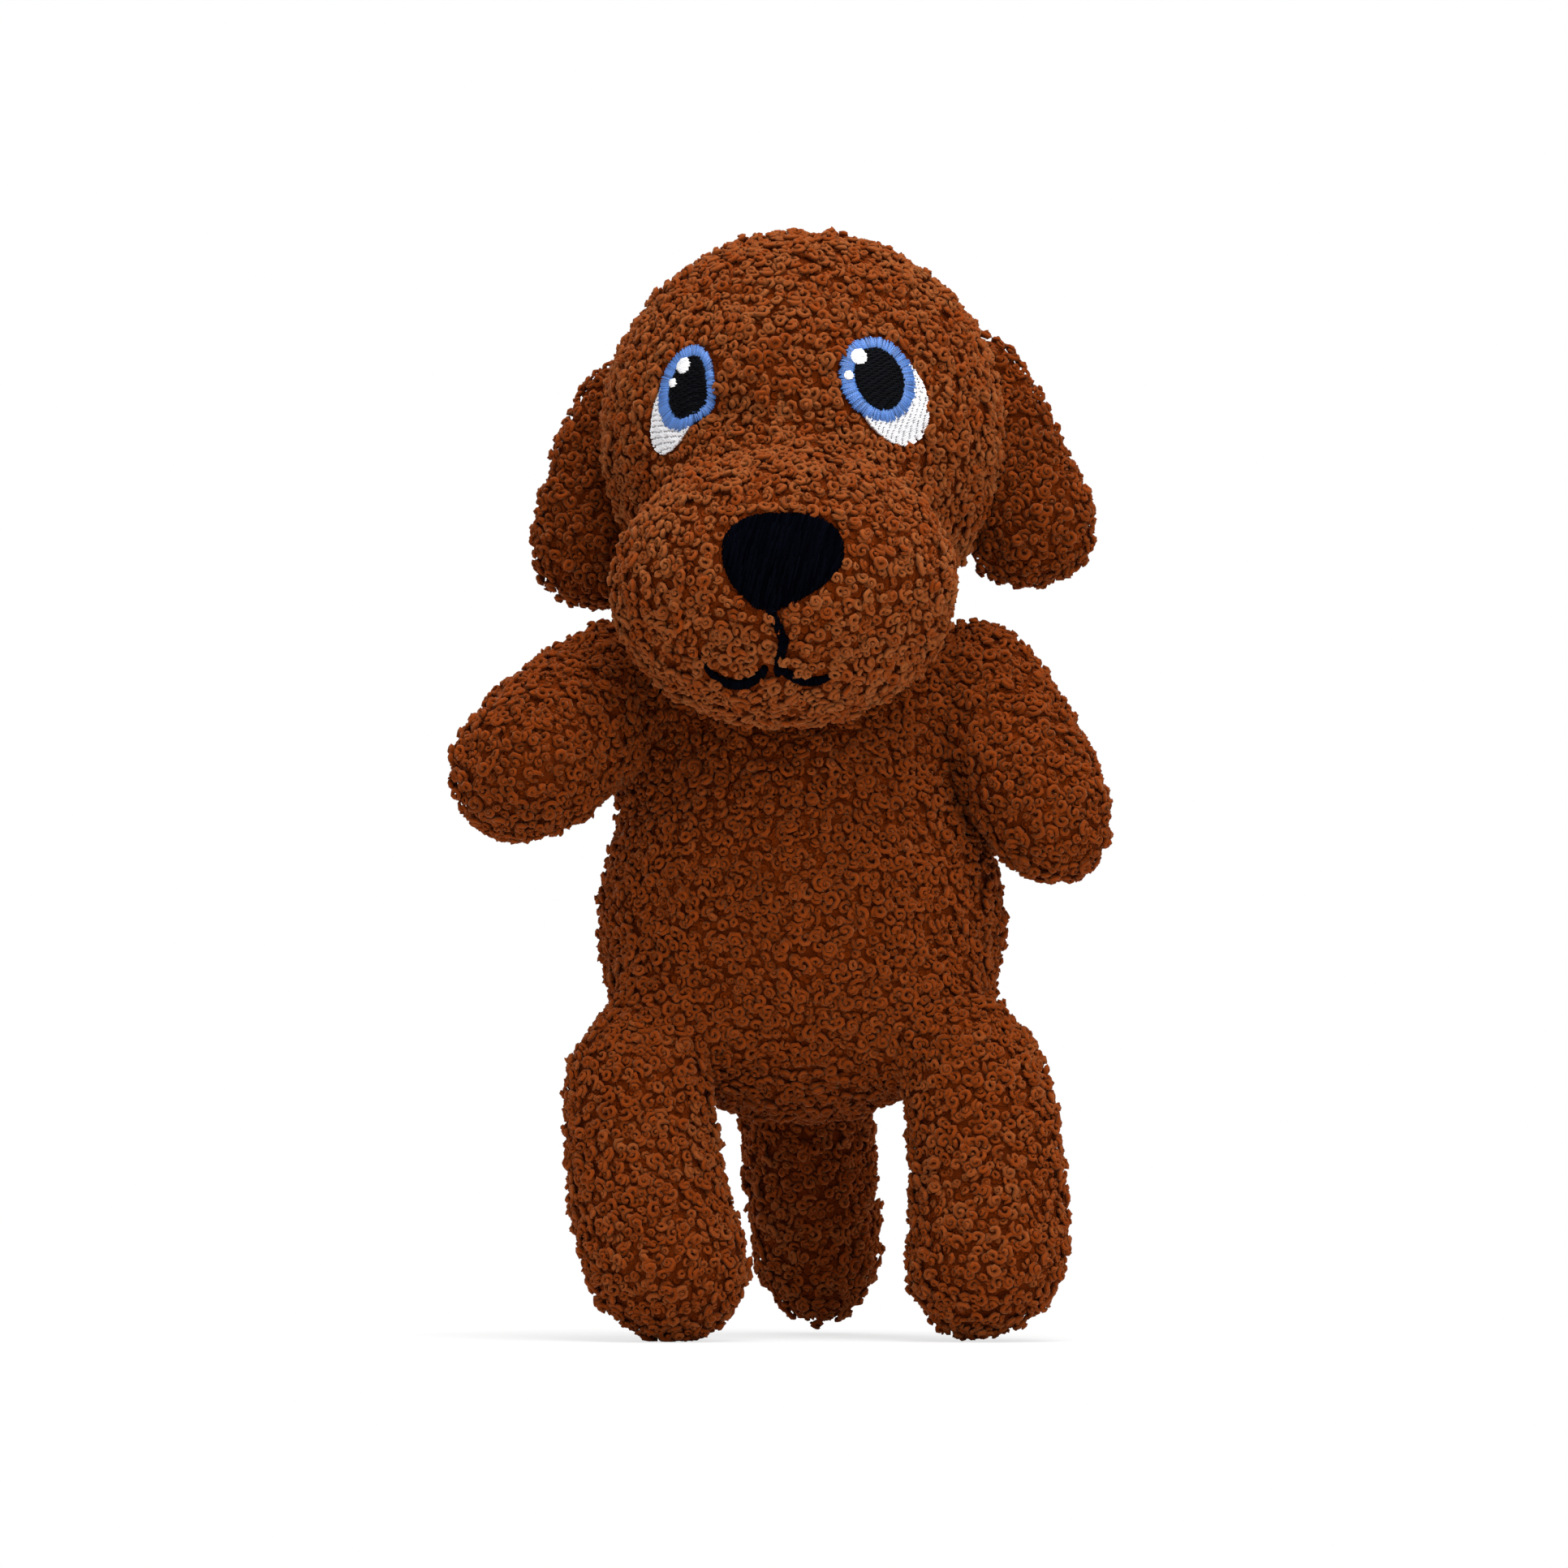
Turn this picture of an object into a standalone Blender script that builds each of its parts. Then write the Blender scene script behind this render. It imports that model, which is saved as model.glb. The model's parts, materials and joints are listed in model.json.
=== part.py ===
"""Plush dog: stuffed bags of curly pile fabric sewn together, standing on its feet and the tip of its tail.

Each bag is a cover of two panels round a wad of stuffing. A limb's round end sits in a hollow of the body,
so that it can be moved about the middle of that end. Metres, +Z up, the dog faces -Y and its own left is +X.
"""

import math

import bmesh
import bpy
from mathutils import Euler, Matrix, Vector

# Fabric, thread and clearances
COVER = 0.0035
STITCH = 0.0011
FIT_GAP = 0.0003
SEAM_GAP = 0.0003
SWIVEL_GAP = 0.0003

# Torso, a pear between a belly ball and a chest ball
BELLY_RADIUS = 0.0500
BELLY_DEPTH = 0.0430
CHEST_RADIUS = 0.0340
TORSO_LENGTH = 0.0450

# Legs, from the hip ball to the foot ball
HIP_RADIUS = 0.0195
FOOT_RADIUS = 0.0205
SOLE_RADIUS = 0.0090
LEG_LENGTH = 0.0540
HIP_AZIMUTH = math.radians(53.0)
HIP_DROP = math.radians(34.0)
HIP_STANDOFF = 0.0080
LEG_FORWARD = math.radians(6.4)
LEG_LEAN = {"left": math.radians(-6.0), "right": math.radians(-6.4)}

# Arms, from the shoulder ball to the hand ball
SHOULDER_RADIUS = 0.0175
HAND_RADIUS = 0.0190
ARM_LENGTH = 0.0435
SHOULDER_AZIMUTH = math.radians(81.0)
SHOULDER_RISE = math.radians(14.5)
SHOULDER_STANDOFF = 0.0115
ARM_DROP = {"left": math.radians(52.0), "right": math.radians(28.0)}
ARM_FORWARD = {"left": math.radians(43.0), "right": math.radians(50.0)}

# Tail, which reaches the ground behind the feet
TAIL_ROOT_RADIUS = 0.0170
TAIL_TIP_RADIUS = 0.0155
TAIL_REST_RADIUS = 0.0050
TAIL_DROP = math.radians(37.0)
TAIL_STANDOFF = 0.0085
TAIL_BACK_LEAN = math.radians(9.5)
TAIL_SIDE_LEAN = math.radians(-3.6)

# Neck and head
NECK_PAD = 0.0025
NECK_EMBED = 0.0070
HEAD_HALF_WIDTH = 0.0505
HEAD_HALF_DEPTH = 0.0480
HEAD_HALF_HEIGHT = 0.0505
HEAD_FORWARD = 0.0040
HEAD_TURN = math.radians(-5.5)
HEAD_TILT = math.radians(-2.0)

# Muzzle
MUZZLE_HALF_WIDTH = 0.0420
MUZZLE_HALF_DEPTH = 0.0360
MUZZLE_HALF_HEIGHT = 0.0330
MUZZLE_FORWARD = 0.0460
MUZZLE_DROP = 0.0435
CHIN_SEAM_DROP = 0.0280

# Ears
EAR_ROOT_RADIUS = 0.0110
EAR_TIP_RADIUS = 0.0165
EAR_HALF_THICKNESS = 0.0095
EAR_LENGTH = 0.0435
EAR_AZIMUTH = math.radians(104.0)
EAR_RISE = math.radians(19.5)
EAR_STANDOFF = 0.0015
EAR_LEAN = {"left": math.radians(-12.0), "right": math.radians(7.0)}

# Embroidered eyes, in the plane that faces out from the middle of each eye
EYE_AZIMUTH = math.radians(29.0)
EYE_RISE = math.radians(7.5)
WHITE_HALF_WIDTH = 0.0118
WHITE_HALF_HEIGHT = 0.0130
WHITE_OUTWARD = 0.0018
WHITE_DROP = 0.0027
IRIS_HALF_WIDTH = 0.0097
IRIS_HALF_HEIGHT = 0.0106
PUPIL_HALF_WIDTH = 0.0063
PUPIL_HALF_HEIGHT = 0.0078
GLINT_RADIUS = 0.0020
GLINT_PLACE = {"left": (-0.0052, 0.0058), "right": (-0.0025, 0.0058)}
SPARK_RADIUS = 0.0011
SPARK_PLACE = {"left": (-0.0082, 0.0012), "right": (-0.0052, 0.0018)}

# Embroidered nose and mouth, in the head's XZ plane about the middle of the muzzle
NOSE_HALF_WIDTH = 0.0142
NOSE_TOP_RISE = 0.0135
NOSE_SHOULDER_RISE = 0.0065
NOSE_TIP_DROP = 0.0100
NOSE_TAPER = 0.35
NOSE_ASIDE = 0.0015
MOUTH_STROKE = 0.0022
MOUTH_LINE_DROP = 0.0245
SMILE_RADIUS = 0.0088
SMILE_SPREAD = 0.0085
SMILE_SWEEP = math.radians(62.0)

# Facets
LIMB_SIDES = 16
LIMB_ARC = 4
BODY_SIDES = 20
BODY_ARC = 5
SWIVEL_SIDES = 24
OUTLINE_POINTS = 24
SMILE_POINTS = 8
SHARP_ANGLE = math.radians(40.0)
MERGE_DISTANCE = 1e-6

SIDES = {"left": 1, "right": -1}
FLOOR = 0.0

# Each finish's colour and roughness
FINISHES = {
    "pile": ((0.31, 0.085, 0.022), 0.95),
    "stuffing": ((0.85, 0.83, 0.79), 1.0),
    "white_thread": ((0.86, 0.86, 0.88), 0.55),
    "blue_thread": ((0.085, 0.20, 0.52), 0.5),
    "black_thread": ((0.008, 0.008, 0.012), 0.5),
}


# Materials and objects


def make_material(name, colour, roughness):
    material = bpy.data.materials.new(name)
    material.use_nodes = True
    shader = material.node_tree.nodes["Principled BSDF"]
    shader.inputs["Base Color"].default_value = (*colour, 1.0)
    shader.inputs["Roughness"].default_value = roughness
    shader.inputs["Metallic"].default_value = 0.0
    return material


def make_empty(name, parent, location, rotation=(0.0, 0.0, 0.0)):
    empty = bpy.data.objects.new(name, None)
    empty.parent = parent
    empty.location = location
    empty.rotation_euler = Euler(rotation)
    bpy.context.scene.collection.objects.link(empty)
    return empty


def make_object(name, bm, parent, material=None):
    bmesh.ops.recalc_face_normals(bm, faces=bm.faces)
    mesh = bpy.data.meshes.new(name)
    bm.to_mesh(mesh)
    bm.free()
    mesh.shade_smooth()
    mesh.set_sharp_from_angle(angle=SHARP_ANGLE)
    piece = bpy.data.objects.new(name, mesh)
    piece.parent = parent
    if material:
        mesh.materials.append(material)
    bpy.context.scene.collection.objects.link(piece)
    return piece


def make_cutter(name, bm, parent):
    cutter = make_object(name, bm, parent)
    cutter.hide_render = True
    cutter.display_type = "WIRE"
    return cutter


def combine(piece, other, operation):
    boolean = piece.modifiers.new(f"{operation.lower()} {other.name}", "BOOLEAN")
    boolean.operation = operation
    boolean.solver = "EXACT"
    boolean.object = other


def cut(pieces, cutters):
    for piece in pieces:
        for cutter in cutters:
            combine(piece, cutter, "DIFFERENCE")


# Stuffed shapes


def arc_points(radius, height, start, stop, steps):
    angles = [start + (stop - start) * step / steps for step in range(steps + 1)]
    return [Vector((radius * math.cos(a), 0.0, height + radius * math.sin(a))) for a in angles]


def hull_profile(start_radius, end_radius, length, arc_steps):
    """Half outline of the tight hull of a ball at the origin and one the given length below it."""
    slope = math.asin((end_radius - start_radius) / length)
    upper = arc_points(start_radius, 0.0, math.pi / 2, slope, arc_steps)
    lower = arc_points(end_radius, -length, slope, -math.pi / 2, arc_steps)
    return upper + lower


def turned(profile, sides):
    """A closed body turned about Z from an outline that starts and ends on the axis, or closes on itself."""
    bm = bmesh.new()
    verts = [bm.verts.new(point) for point in profile]
    edges = [bm.edges.new(pair) for pair in zip(verts, verts[1:])]
    bmesh.ops.spin(
        bm,
        geom=verts + edges,
        cent=(0.0, 0.0, 0.0),
        axis=(0.0, 0.0, 1.0),
        angle=math.tau,
        steps=sides,
        use_merge=True,
    )
    bmesh.ops.remove_doubles(bm, verts=bm.verts, dist=MERGE_DISTANCE)
    return bm


def limb_form(start_radius, end_radius, length, offset):
    profile = hull_profile(start_radius + offset, end_radius + offset, length, LIMB_ARC)
    return turned(profile, LIMB_SIDES)


def ball_form(radius, sides=BODY_SIDES, arc_steps=BODY_ARC):
    return turned(arc_points(radius, 0.0, math.pi / 2, -math.pi / 2, 2 * arc_steps), sides)


def swivel_radius(radius):
    """The radius of a ball whose flat facets still clear a round end of the given radius."""
    facet = math.cos(math.pi / SWIVEL_SIDES)
    return (radius + SWIVEL_GAP) / facet**2


def swivel_ball(radius):
    return ball_form(swivel_radius(radius), SWIVEL_SIDES, SWIVEL_SIDES // 4)


def limb_hollow(start_radius, end_radius, length):
    """Room for a limb's round end at any turn, and for its whole length at rest."""
    profile = hull_profile(swivel_radius(start_radius), end_radius + FIT_GAP, length, SWIVEL_SIDES // 4)
    return turned(profile, SWIVEL_SIDES)


def oval_form(half_sizes, offset):
    bm = ball_form(1.0)
    bmesh.ops.scale(bm, vec=[size + offset for size in half_sizes], verts=bm.verts)
    return bm


def torso_form(offset):
    """The pear with the chest ball at the origin, shallower than it is wide at the belly."""
    belly = BELLY_RADIUS + offset
    bm = turned(hull_profile(CHEST_RADIUS + offset, belly, TORSO_LENGTH, BODY_ARC), BODY_SIDES)
    flatness = (BELLY_DEPTH + offset) / belly
    for vert in bm.verts:
        share = min(max(-vert.co.z / TORSO_LENGTH, 0.0), 1.0)
        vert.co.y *= 1.0 + (flatness - 1.0) * share
    return bm


def ear_form(offset):
    bm = limb_form(EAR_ROOT_RADIUS, EAR_TIP_RADIUS, EAR_LENGTH, offset)
    flatness = (EAR_HALF_THICKNESS + offset) / (EAR_TIP_RADIUS + offset)
    bmesh.ops.scale(bm, vec=(1.0, flatness, 1.0), verts=bm.verts)
    return bm


def close_cut(bm):
    rim = [edge for edge in bm.edges if edge.is_boundary]
    bmesh.ops.holes_fill(bm, edges=rim, sides=0)


def keep_side(bm, point, normal):
    """Cuts off what lies behind the plane, and closes the cut with a flat face."""
    geometry = bm.verts[:] + bm.edges[:] + bm.faces[:]
    bmesh.ops.bisect_plane(bm, geom=geometry, plane_co=point, plane_no=normal, clear_inner=True)
    close_cut(bm)
    return bm


def grounded(form, frame):
    """The same form, cut flat where it rests on the ground, with the cut moved in as the form shrinks."""
    to_local = frame.inverted()
    normal = to_local.to_3x3() @ Vector((0.0, 0.0, 1.0))

    def cut_form(offset):
        return keep_side(form(offset), to_local @ Vector((0.0, 0.0, FLOOR - offset)), normal)

    return cut_form


def bag(name, panels, form, parent, seam, materials):
    """Two cover panels that meet at the seam plane (point, normal), and the stuffing inside them."""
    point, normal = seam
    lining = make_cutter(f"{name}_lining", form(-COVER), parent)
    covers = []
    for panel, side in zip(panels, (1, -1)):
        facing = side * normal
        solid = keep_side(form(0.0), point + facing * SEAM_GAP / 2, facing)
        cover = make_object(f"{name}_{panel}_panel", solid, parent, materials["pile"])
        combine(cover, lining, "DIFFERENCE")
        covers.append(cover)
    core = make_object(f"{name}_stuffing", form(-COVER - FIT_GAP), parent, materials["stuffing"])
    return covers, core, lining


# Places on the body


def oval_place(half_sizes, azimuth, rise, standoff):
    """A point that stands off an oval's surface. Azimuth turns from the front to +X."""
    across, deep, high = half_sizes
    flat = math.cos(rise)
    surface = Vector(
        (across * flat * math.sin(azimuth), -deep * flat * math.cos(azimuth), high * math.sin(rise))
    )
    out = Vector((surface.x / across**2, surface.y / deep**2, surface.z / high**2)).normalized()
    return surface + out * standoff


def hip_place(side):
    belly = (BELLY_RADIUS, BELLY_DEPTH, BELLY_RADIUS)
    return oval_place(belly, side * HIP_AZIMUTH, -HIP_DROP, HIP_STANDOFF)


def chest_height():
    """The chest ball's height, with the soles on the ground."""
    foot = math.sqrt(FOOT_RADIUS**2 - SOLE_RADIUS**2)
    lean = max(abs(angle) for angle in LEG_LEAN.values())
    hip = foot + LEG_LENGTH * math.cos(LEG_FORWARD) * math.cos(lean)
    return FLOOR + hip - hip_place(1).z + TORSO_LENGTH


def head_height():
    """The head's middle above the chest ball's middle."""
    return CHEST_RADIUS + HEAD_HALF_HEIGHT - NECK_EMBED


def world_matrix(empty):
    matrix = Matrix.Identity(4)
    while empty:
        matrix = Matrix.LocRotScale(empty.location, empty.rotation_euler, None) @ matrix
        empty = empty.parent
    return matrix


# Pieces


def build_torso(root, materials):
    frame = make_empty("chest_middle", root, (0.0, 0.0, chest_height()))
    seam = (Vector(), Vector((0.0, -1.0, 0.0)))
    covers, core, _ = bag("torso", ("front", "back"), torso_form, frame, seam, materials)
    return frame, covers + [core]


def build_limb(name, sizes, parent, rests, materials):
    """A bag with its round end at the parent's origin, and the cutter that hollows the body for it."""

    def form(offset):
        return limb_form(*sizes, offset)

    if rests:
        form = grounded(form, world_matrix(parent))
    seam = (Vector(), Vector((0.0, -1.0, 0.0)))
    bag(name, ("front", "back"), form, parent, seam, materials)
    return make_cutter(f"{name}_hollow", limb_hollow(*sizes), parent)


def build_legs(chest, torso, materials):
    belly = Vector((0.0, 0.0, -TORSO_LENGTH))
    sizes = (HIP_RADIUS, FOOT_RADIUS, LEG_LENGTH)
    for name, side in SIDES.items():
        turn = (-LEG_FORWARD, LEG_LEAN[name], 0.0)
        hip = make_empty(f"{name}_hip", chest, belly + hip_place(side), turn)
        cut(torso, [build_limb(f"{name}_leg", sizes, hip, True, materials)])


def build_arms(chest, torso, materials):
    ball = (CHEST_RADIUS,) * 3
    sizes = (SHOULDER_RADIUS, HAND_RADIUS, ARM_LENGTH)
    for name, side in SIDES.items():
        place = oval_place(ball, side * SHOULDER_AZIMUTH, SHOULDER_RISE, SHOULDER_STANDOFF)
        outward = math.pi / 2 - ARM_DROP[name]
        turn = (0.0, -side * outward, -side * ARM_FORWARD[name])
        shoulder = make_empty(f"{name}_shoulder", chest, place, turn)
        cut(torso, [build_limb(f"{name}_arm", sizes, shoulder, False, materials)])


def build_tail(chest, torso, materials):
    belly = (BELLY_RADIUS, BELLY_DEPTH, BELLY_RADIUS)
    place = oval_place(belly, math.pi, -TAIL_DROP, TAIL_STANDOFF)
    place.z -= TORSO_LENGTH
    root = make_empty("tail_root", chest, place, (TAIL_BACK_LEAN, TAIL_SIDE_LEAN, 0.0))
    frame = world_matrix(root)
    tip = math.sqrt(TAIL_TIP_RADIUS**2 - TAIL_REST_RADIUS**2)
    length = (frame.translation.z - FLOOR - tip) / frame.to_3x3()[2][2]
    sizes = (TAIL_ROOT_RADIUS, TAIL_TIP_RADIUS, length)
    cut(torso, [build_limb("tail", sizes, root, True, materials)])


def build_neck(chest, materials):
    """The firm wad over the chest ball that the head turns on, as wide as the head's underside."""
    inner = CHEST_RADIUS + FIT_GAP
    outer = inner + NECK_PAD
    height = head_height()
    reach = (height**2 + outer**2 - HEAD_HALF_HEIGHT**2) / (2 * height * outer)
    rim = math.pi / 2 - math.acos(reach)
    top = math.pi / 2
    facet = math.cos(math.pi / SWIVEL_SIDES)
    inside = arc_points(inner / facet, 0.0, top, rim, BODY_ARC)
    outside = arc_points(outer, 0.0, rim, top, BODY_ARC)
    make_object("neck_stuffing", turned(inside + outside, SWIVEL_SIDES), chest, materials["stuffing"])
    return make_cutter("neck_swivel", swivel_ball(outer), chest)


def build_head(chest, neck, materials):
    place = (0.0, -HEAD_FORWARD, head_height())
    frame = make_empty("head_middle", chest, place, (0.0, HEAD_TILT, HEAD_TURN))
    half = (HEAD_HALF_WIDTH, HEAD_HALF_DEPTH, HEAD_HALF_HEIGHT)

    def head_form(offset):
        return oval_form(half, offset)

    ear_line = oval_place(half, EAR_AZIMUTH, EAR_RISE, EAR_STANDOFF).y
    seam = (Vector((0.0, ear_line, 0.0)), Vector((0.0, -1.0, 0.0)))
    covers, core, _ = bag("head", ("front", "back"), head_form, frame, seam, materials)
    cut(covers + [core], [neck])
    outside = make_cutter("head_outside", head_form(FIT_GAP), frame)
    thread = make_cutter("head_thread_top", head_form(FIT_GAP + STITCH), frame)
    inside = make_cutter("head_inside", head_form(-COVER), frame)
    return frame, covers, core, {"outside": outside, "thread": thread, "inside": inside}


def build_muzzle(head, covers, head_skins, neck, materials):
    place = (0.0, -MUZZLE_FORWARD, -MUZZLE_DROP)
    frame = make_empty("muzzle_middle", head, place)
    half = (MUZZLE_HALF_WIDTH, MUZZLE_HALF_DEPTH, MUZZLE_HALF_HEIGHT)

    def muzzle_form(offset):
        return oval_form(half, offset)

    seam = (Vector((0.0, 0.0, -CHIN_SEAM_DROP)), Vector((0.0, 0.0, 1.0)))
    panels, core, lining = bag("muzzle", ("front", "chin"), muzzle_form, frame, seam, materials)
    cut(panels, [head_skins["outside"], neck])
    cut([core], [head_skins["inside"], neck])
    cut(covers[:1], [lining])
    outside = make_cutter("muzzle_outside", muzzle_form(FIT_GAP), frame)
    thread = make_cutter("muzzle_thread_top", muzzle_form(FIT_GAP + STITCH), frame)
    return frame, {"outside": outside, "thread": thread}


def build_ears(head, head_pieces, materials):
    half = (HEAD_HALF_WIDTH, HEAD_HALF_DEPTH, HEAD_HALF_HEIGHT)
    for name, side in SIDES.items():
        place = oval_place(half, side * EAR_AZIMUTH, EAR_RISE, EAR_STANDOFF)
        root = make_empty(f"{name}_ear_root", head, place, (0.0, EAR_LEAN[name], 0.0))
        seam = (Vector(), Vector((0.0, -1.0, 0.0)))
        bag(f"{name}_ear", ("front", "back"), ear_form, root, seam, materials)
        hollow = make_cutter(f"{name}_ear_hollow", ear_form(FIT_GAP), root)
        cut(head_pieces, [hollow])


# Embroidery


def oval_outline(half_width, half_height, middle=(0.0, 0.0), grow=0.0):
    angles = [math.tau * step / OUTLINE_POINTS for step in range(OUTLINE_POINTS)]
    return [
        (middle[0] + (half_width + grow) * math.cos(a), middle[1] + (half_height + grow) * math.sin(a))
        for a in angles
    ]


def band_outline(middle, radius, start, stop, width):
    angles = [start + (stop - start) * step / SMILE_POINTS for step in range(SMILE_POINTS + 1)]
    outer = [(radius + width / 2, a) for a in angles]
    inner = [(radius - width / 2, a) for a in reversed(angles)]
    return [(middle[0] + r * math.cos(a), middle[1] + r * math.sin(a)) for r, a in outer + inner]


def prism(outline, depth):
    """A block of the outline's shape in the XZ plane, from there forward to the given depth."""
    bm = bmesh.new()
    face = bm.faces.new([bm.verts.new((x, 0.0, z)) for x, z in outline])
    side = bmesh.ops.extrude_face_region(bm, geom=[face])
    moved = [item for item in side["geom"] if isinstance(item, bmesh.types.BMVert)]
    bmesh.ops.translate(bm, vec=(0.0, -depth, 0.0), verts=moved)
    return bm


def stitched(name, outline, depth, frame, skins, material):
    """A raised patch of thread that follows the cover under it."""
    patch = make_object(name, prism(outline, depth), frame, material)
    combine(patch, skins["thread"], "INTERSECT")
    combine(patch, skins["outside"], "DIFFERENCE")
    return patch


def build_eye(name, side, head, skins, materials):
    """Five patches of thread, each cut out of the ones stitched before it."""
    turn = (-EYE_RISE, 0.0, side * EYE_AZIMUTH)
    frame = make_empty(f"{name}_eye_middle", head, (0.0, 0.0, 0.0), turn)
    depth = max(HEAD_HALF_WIDTH, HEAD_HALF_DEPTH, HEAD_HALF_HEIGHT) + COVER
    white = (WHITE_HALF_WIDTH, WHITE_HALF_HEIGHT, (side * WHITE_OUTWARD, -WHITE_DROP))
    shapes = (
        ("white", white, "white_thread"),
        ("iris", (IRIS_HALF_WIDTH, IRIS_HALF_HEIGHT), "blue_thread"),
        ("pupil", (PUPIL_HALF_WIDTH, PUPIL_HALF_HEIGHT), "black_thread"),
        ("glint", (GLINT_RADIUS, GLINT_RADIUS, GLINT_PLACE[name]), "white_thread"),
        ("spark", (SPARK_RADIUS, SPARK_RADIUS, SPARK_PLACE[name]), "white_thread"),
    )
    under = []
    for part, shape, thread in shapes:
        patch_name = f"{name}_eye_{part}"
        patch = stitched(patch_name, oval_outline(*shape), depth, frame, skins, materials[thread])
        if under:
            edge = prism(oval_outline(*shape, grow=FIT_GAP), depth)
            cut(under, [make_cutter(f"{patch_name}_edge", edge, frame)])
        under.append(patch)


def nose_outline():
    """A rounded triangle: a low dome above, shoulders at the widest, and a round tip below."""
    points = []
    for step in range(OUTLINE_POINTS):
        angle = math.tau * step / OUTLINE_POINTS
        across = math.cos(angle)
        up = math.sin(angle)
        if up >= 0:
            high = NOSE_SHOULDER_RISE + (NOSE_TOP_RISE - NOSE_SHOULDER_RISE) * up
        else:
            high = NOSE_SHOULDER_RISE + (NOSE_SHOULDER_RISE + NOSE_TIP_DROP) * up
            across *= 1.0 - NOSE_TAPER * up * up
        points.append((NOSE_ASIDE + NOSE_HALF_WIDTH * across, high))
    return points


def build_face(head, head_skins, muzzle, muzzle_skins, materials):
    for name, side in SIDES.items():
        build_eye(name, side, head, head_skins, materials)
    depth = MUZZLE_HALF_DEPTH + COVER
    black = materials["black_thread"]
    stitched("nose", nose_outline(), depth, muzzle, muzzle_skins, black)
    half = MOUTH_STROKE / 2
    top = -NOSE_TIP_DROP - FIT_GAP
    bottom = -MOUTH_LINE_DROP
    line = [(NOSE_ASIDE + x, z) for x, z in ((-half, top), (-half, bottom), (half, bottom), (half, top))]
    stitched("mouth_line", line, depth, muzzle, muzzle_skins, black)
    for name, side in SIDES.items():
        middle = (NOSE_ASIDE + side * SMILE_SPREAD, bottom + SMILE_RADIUS - MOUTH_STROKE)
        low = -math.pi / 2
        arc = band_outline(middle, SMILE_RADIUS, low - SMILE_SWEEP / 2, low + SMILE_SWEEP / 2, MOUTH_STROKE)
        stitched(f"{name}_smile", arc, depth, muzzle, muzzle_skins, black)


def centre_on_ground(root):
    """Moves the whole dog so that the middle of its outline on the ground is at the origin."""
    bpy.context.view_layer.update()
    graph = bpy.context.evaluated_depsgraph_get()
    corners = []
    for piece in bpy.data.objects:
        if piece.type == "MESH" and not piece.hide_render:
            solid = piece.evaluated_get(graph)
            corners += [solid.matrix_world @ Vector(corner) for corner in solid.bound_box]
    for axis in (0, 1):
        places = [corner[axis] for corner in corners]
        root.location[axis] = -(min(places) + max(places)) / 2


def main():
    for old in list(bpy.data.objects):
        bpy.data.objects.remove(old)
    materials = {name: make_material(name, *finish) for name, finish in FINISHES.items()}
    root = make_empty("plush_dog", None, (0.0, 0.0, 0.0))
    chest, torso = build_torso(root, materials)
    build_legs(chest, torso, materials)
    build_arms(chest, torso, materials)
    build_tail(chest, torso, materials)
    neck = build_neck(chest, materials)
    head, covers, core, head_skins = build_head(chest, neck, materials)
    muzzle, muzzle_skins = build_muzzle(head, covers, head_skins, neck, materials)
    build_ears(head, covers + [core], materials)
    build_face(head, head_skins, muzzle, muzzle_skins, materials)
    centre_on_ground(root)


main()
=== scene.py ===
"""Dresses the plush dog: curly fleece over stuffed bags, an embroidered face and a plain white stage."""

import json
import math
import random
from functools import partial
from typing import NamedTuple

import bmesh
import bpy
from bpy.props import FloatProperty, FloatVectorProperty, IntProperty, PointerProperty
from mathutils import Matrix, Vector
from mathutils.bvhtree import BVHTree


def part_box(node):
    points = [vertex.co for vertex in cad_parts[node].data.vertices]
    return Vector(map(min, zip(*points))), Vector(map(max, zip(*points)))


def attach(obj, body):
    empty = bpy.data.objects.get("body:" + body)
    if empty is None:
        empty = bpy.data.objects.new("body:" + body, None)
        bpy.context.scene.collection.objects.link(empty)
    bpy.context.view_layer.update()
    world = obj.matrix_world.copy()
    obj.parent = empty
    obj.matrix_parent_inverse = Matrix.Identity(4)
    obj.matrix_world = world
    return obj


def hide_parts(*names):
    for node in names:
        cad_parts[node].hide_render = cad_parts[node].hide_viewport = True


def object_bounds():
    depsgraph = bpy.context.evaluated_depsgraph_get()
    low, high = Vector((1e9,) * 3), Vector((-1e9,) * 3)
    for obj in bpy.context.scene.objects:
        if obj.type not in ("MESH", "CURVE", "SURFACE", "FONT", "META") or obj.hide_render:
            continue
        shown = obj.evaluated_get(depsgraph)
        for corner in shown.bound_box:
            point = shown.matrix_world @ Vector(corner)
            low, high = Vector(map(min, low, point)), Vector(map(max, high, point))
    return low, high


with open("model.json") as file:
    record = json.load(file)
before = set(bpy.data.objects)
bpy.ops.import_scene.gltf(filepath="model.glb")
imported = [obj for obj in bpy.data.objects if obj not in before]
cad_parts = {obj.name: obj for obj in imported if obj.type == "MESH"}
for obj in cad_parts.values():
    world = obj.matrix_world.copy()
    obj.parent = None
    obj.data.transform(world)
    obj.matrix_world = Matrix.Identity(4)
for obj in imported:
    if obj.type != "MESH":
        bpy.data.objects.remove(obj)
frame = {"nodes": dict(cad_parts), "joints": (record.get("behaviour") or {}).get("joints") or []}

bl_info = {
    "name": "Plush dog",
    "version": (1, 0, 0),
    "blender": (4, 5, 0),
    "location": "3D View > Sidebar > Plush Dog",
    "description": "Dresses a stuffed toy dog in curly fleece and embroidery",
    "category": "Object",
}

CAD_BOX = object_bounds()
UV_NAME = "OFBake"
SIDES = ("left", "right")
ARMS_AND_LEGS = tuple(f"{side}_{limb}" for side in SIDES for limb in ("arm", "leg"))
LIMBS = (*ARMS_AND_LEGS, "tail")
EARS = tuple(f"{side}_ear" for side in SIDES)
MILLIMETRE = 0.001
TINY = 1e-6


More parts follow.
